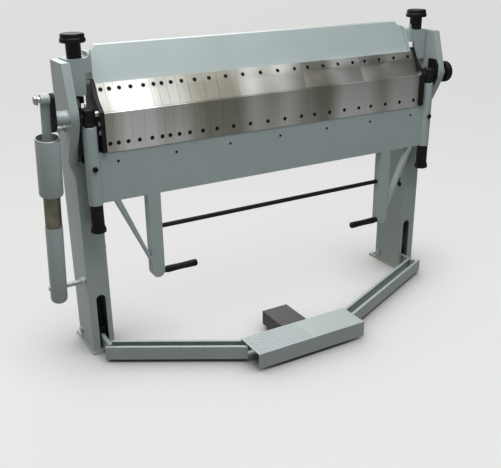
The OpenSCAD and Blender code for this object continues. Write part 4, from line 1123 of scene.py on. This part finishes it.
# The world's tones from left to right and from front to back are multiplied for light and
# mirrors. The camera sees an even, paler backdrop instead of them.
LEFT_TO_RIGHT = ((0.0, (0.30, 0.28, 0.17)), (0.34, (0.58, 0.57, 0.50)),
                 (0.52, (1.15, 1.2, 1.28)), (0.74, (0.95, 0.97, 0.97)),
                 (0.80, (0.16, 0.16, 0.10)))
FRONT_TO_BACK = ((0.0, (0.30, 0.31, 0.34)), (0.45, (0.75, 0.75, 0.75)),
                 (0.85, (3.2, 3.2, 3.2)))
BACKDROP = (1.38, 1.38, 1.36)
WORLD_STRENGTH = 0.55
world = bpy.data.worlds.new("studio")
bpy.context.scene.world = world
world.use_nodes = True
sky = Board(world.node_tree)
sky.tree.nodes.clear()
around = sky.out(sky.node("ShaderNodeTexCoord"), "Generated")
tones = []
for axis, stops in (("X", LEFT_TO_RIGHT), ("Y", FRONT_TO_BACK)):
    ramp = sky.node("ShaderNodeValToRGB", {"stops": stops},
                    {"Fac": sky.part(around, axis) * 0.5 + 0.5})
    tones.append(sky.out(ramp, "Color"))
sight = sky.out(sky.node("ShaderNodeLightPath"), "Is Camera Ray")
tone = sky.mixed(sky.vector_sum("MULTIPLY", *tones), BACKDROP, sight)
glow = sky.node("ShaderNodeBackground", {}, {"Color": tone, "Strength": WORLD_STRENGTH})
sky.node("ShaderNodeOutputWorld", {}, {"Surface": sky.out(glow, "Background")})


def soft_box(name, at, aim, wide, tall, power, tint):
    """A rectangular studio lamp that points at a place."""
    lamp = bpy.data.lights.new(name, "AREA")
    lamp.shape = "RECTANGLE"
    lamp.size = wide
    lamp.size_y = tall
    lamp.energy = power
    lamp.color = tint
    made = placed(name, lamp)
    made.location = at
    made.rotation_euler = (Vector(aim) - Vector(at)).to_track_quat("-Z", "Y").to_euler()


soft_box("key_box", at=(-0.5, -0.6, 3.4), aim=(0.0, 0.0, 0.5), wide=3.0, tall=2.2,
         power=96.0, tint=(1.0, 1.0, 1.0))
soft_box("glow_box", at=(1.30, -2.4, 3.4), aim=(-0.2, 0.1, 0.9), wide=2.2, tall=0.7,
         power=8.0, tint=(1.0, 1.0, 0.99))

YAW = math.radians(-29.79)
PITCH = math.radians(21.88)
ROLL = math.radians(-0.68)
CAMERA_AT = (-1.2927, -2.0637, 1.3229)
FOCAL_PIXELS = 721.7
PICTURE_WIDTH = 501
SENSOR = 36.0
toward = Vector((math.sin(YAW) * math.cos(PITCH), -math.cos(YAW) * math.cos(PITCH),
                 math.sin(PITCH)))
right = (-toward).cross(Vector((0, 0, 1))).normalized()
up = right.cross(-toward)
right, up = (math.cos(ROLL) * right + math.sin(ROLL) * up,
             -math.sin(ROLL) * right + math.cos(ROLL) * up)
lens = bpy.data.cameras.new("view_of_photo")
lens.sensor_fit = "HORIZONTAL"
lens.sensor_width = SENSOR
lens.lens = FOCAL_PIXELS / PICTURE_WIDTH * SENSOR
eye = placed("view_of_photo", lens)
turned = Matrix((right, up, toward)).transposed().to_4x4()
eye.matrix_world = Matrix.Translation(CAMERA_AT) @ turned
bpy.context.scene.camera = eye
bpy.context.scene.view_settings.view_transform = "Standard"
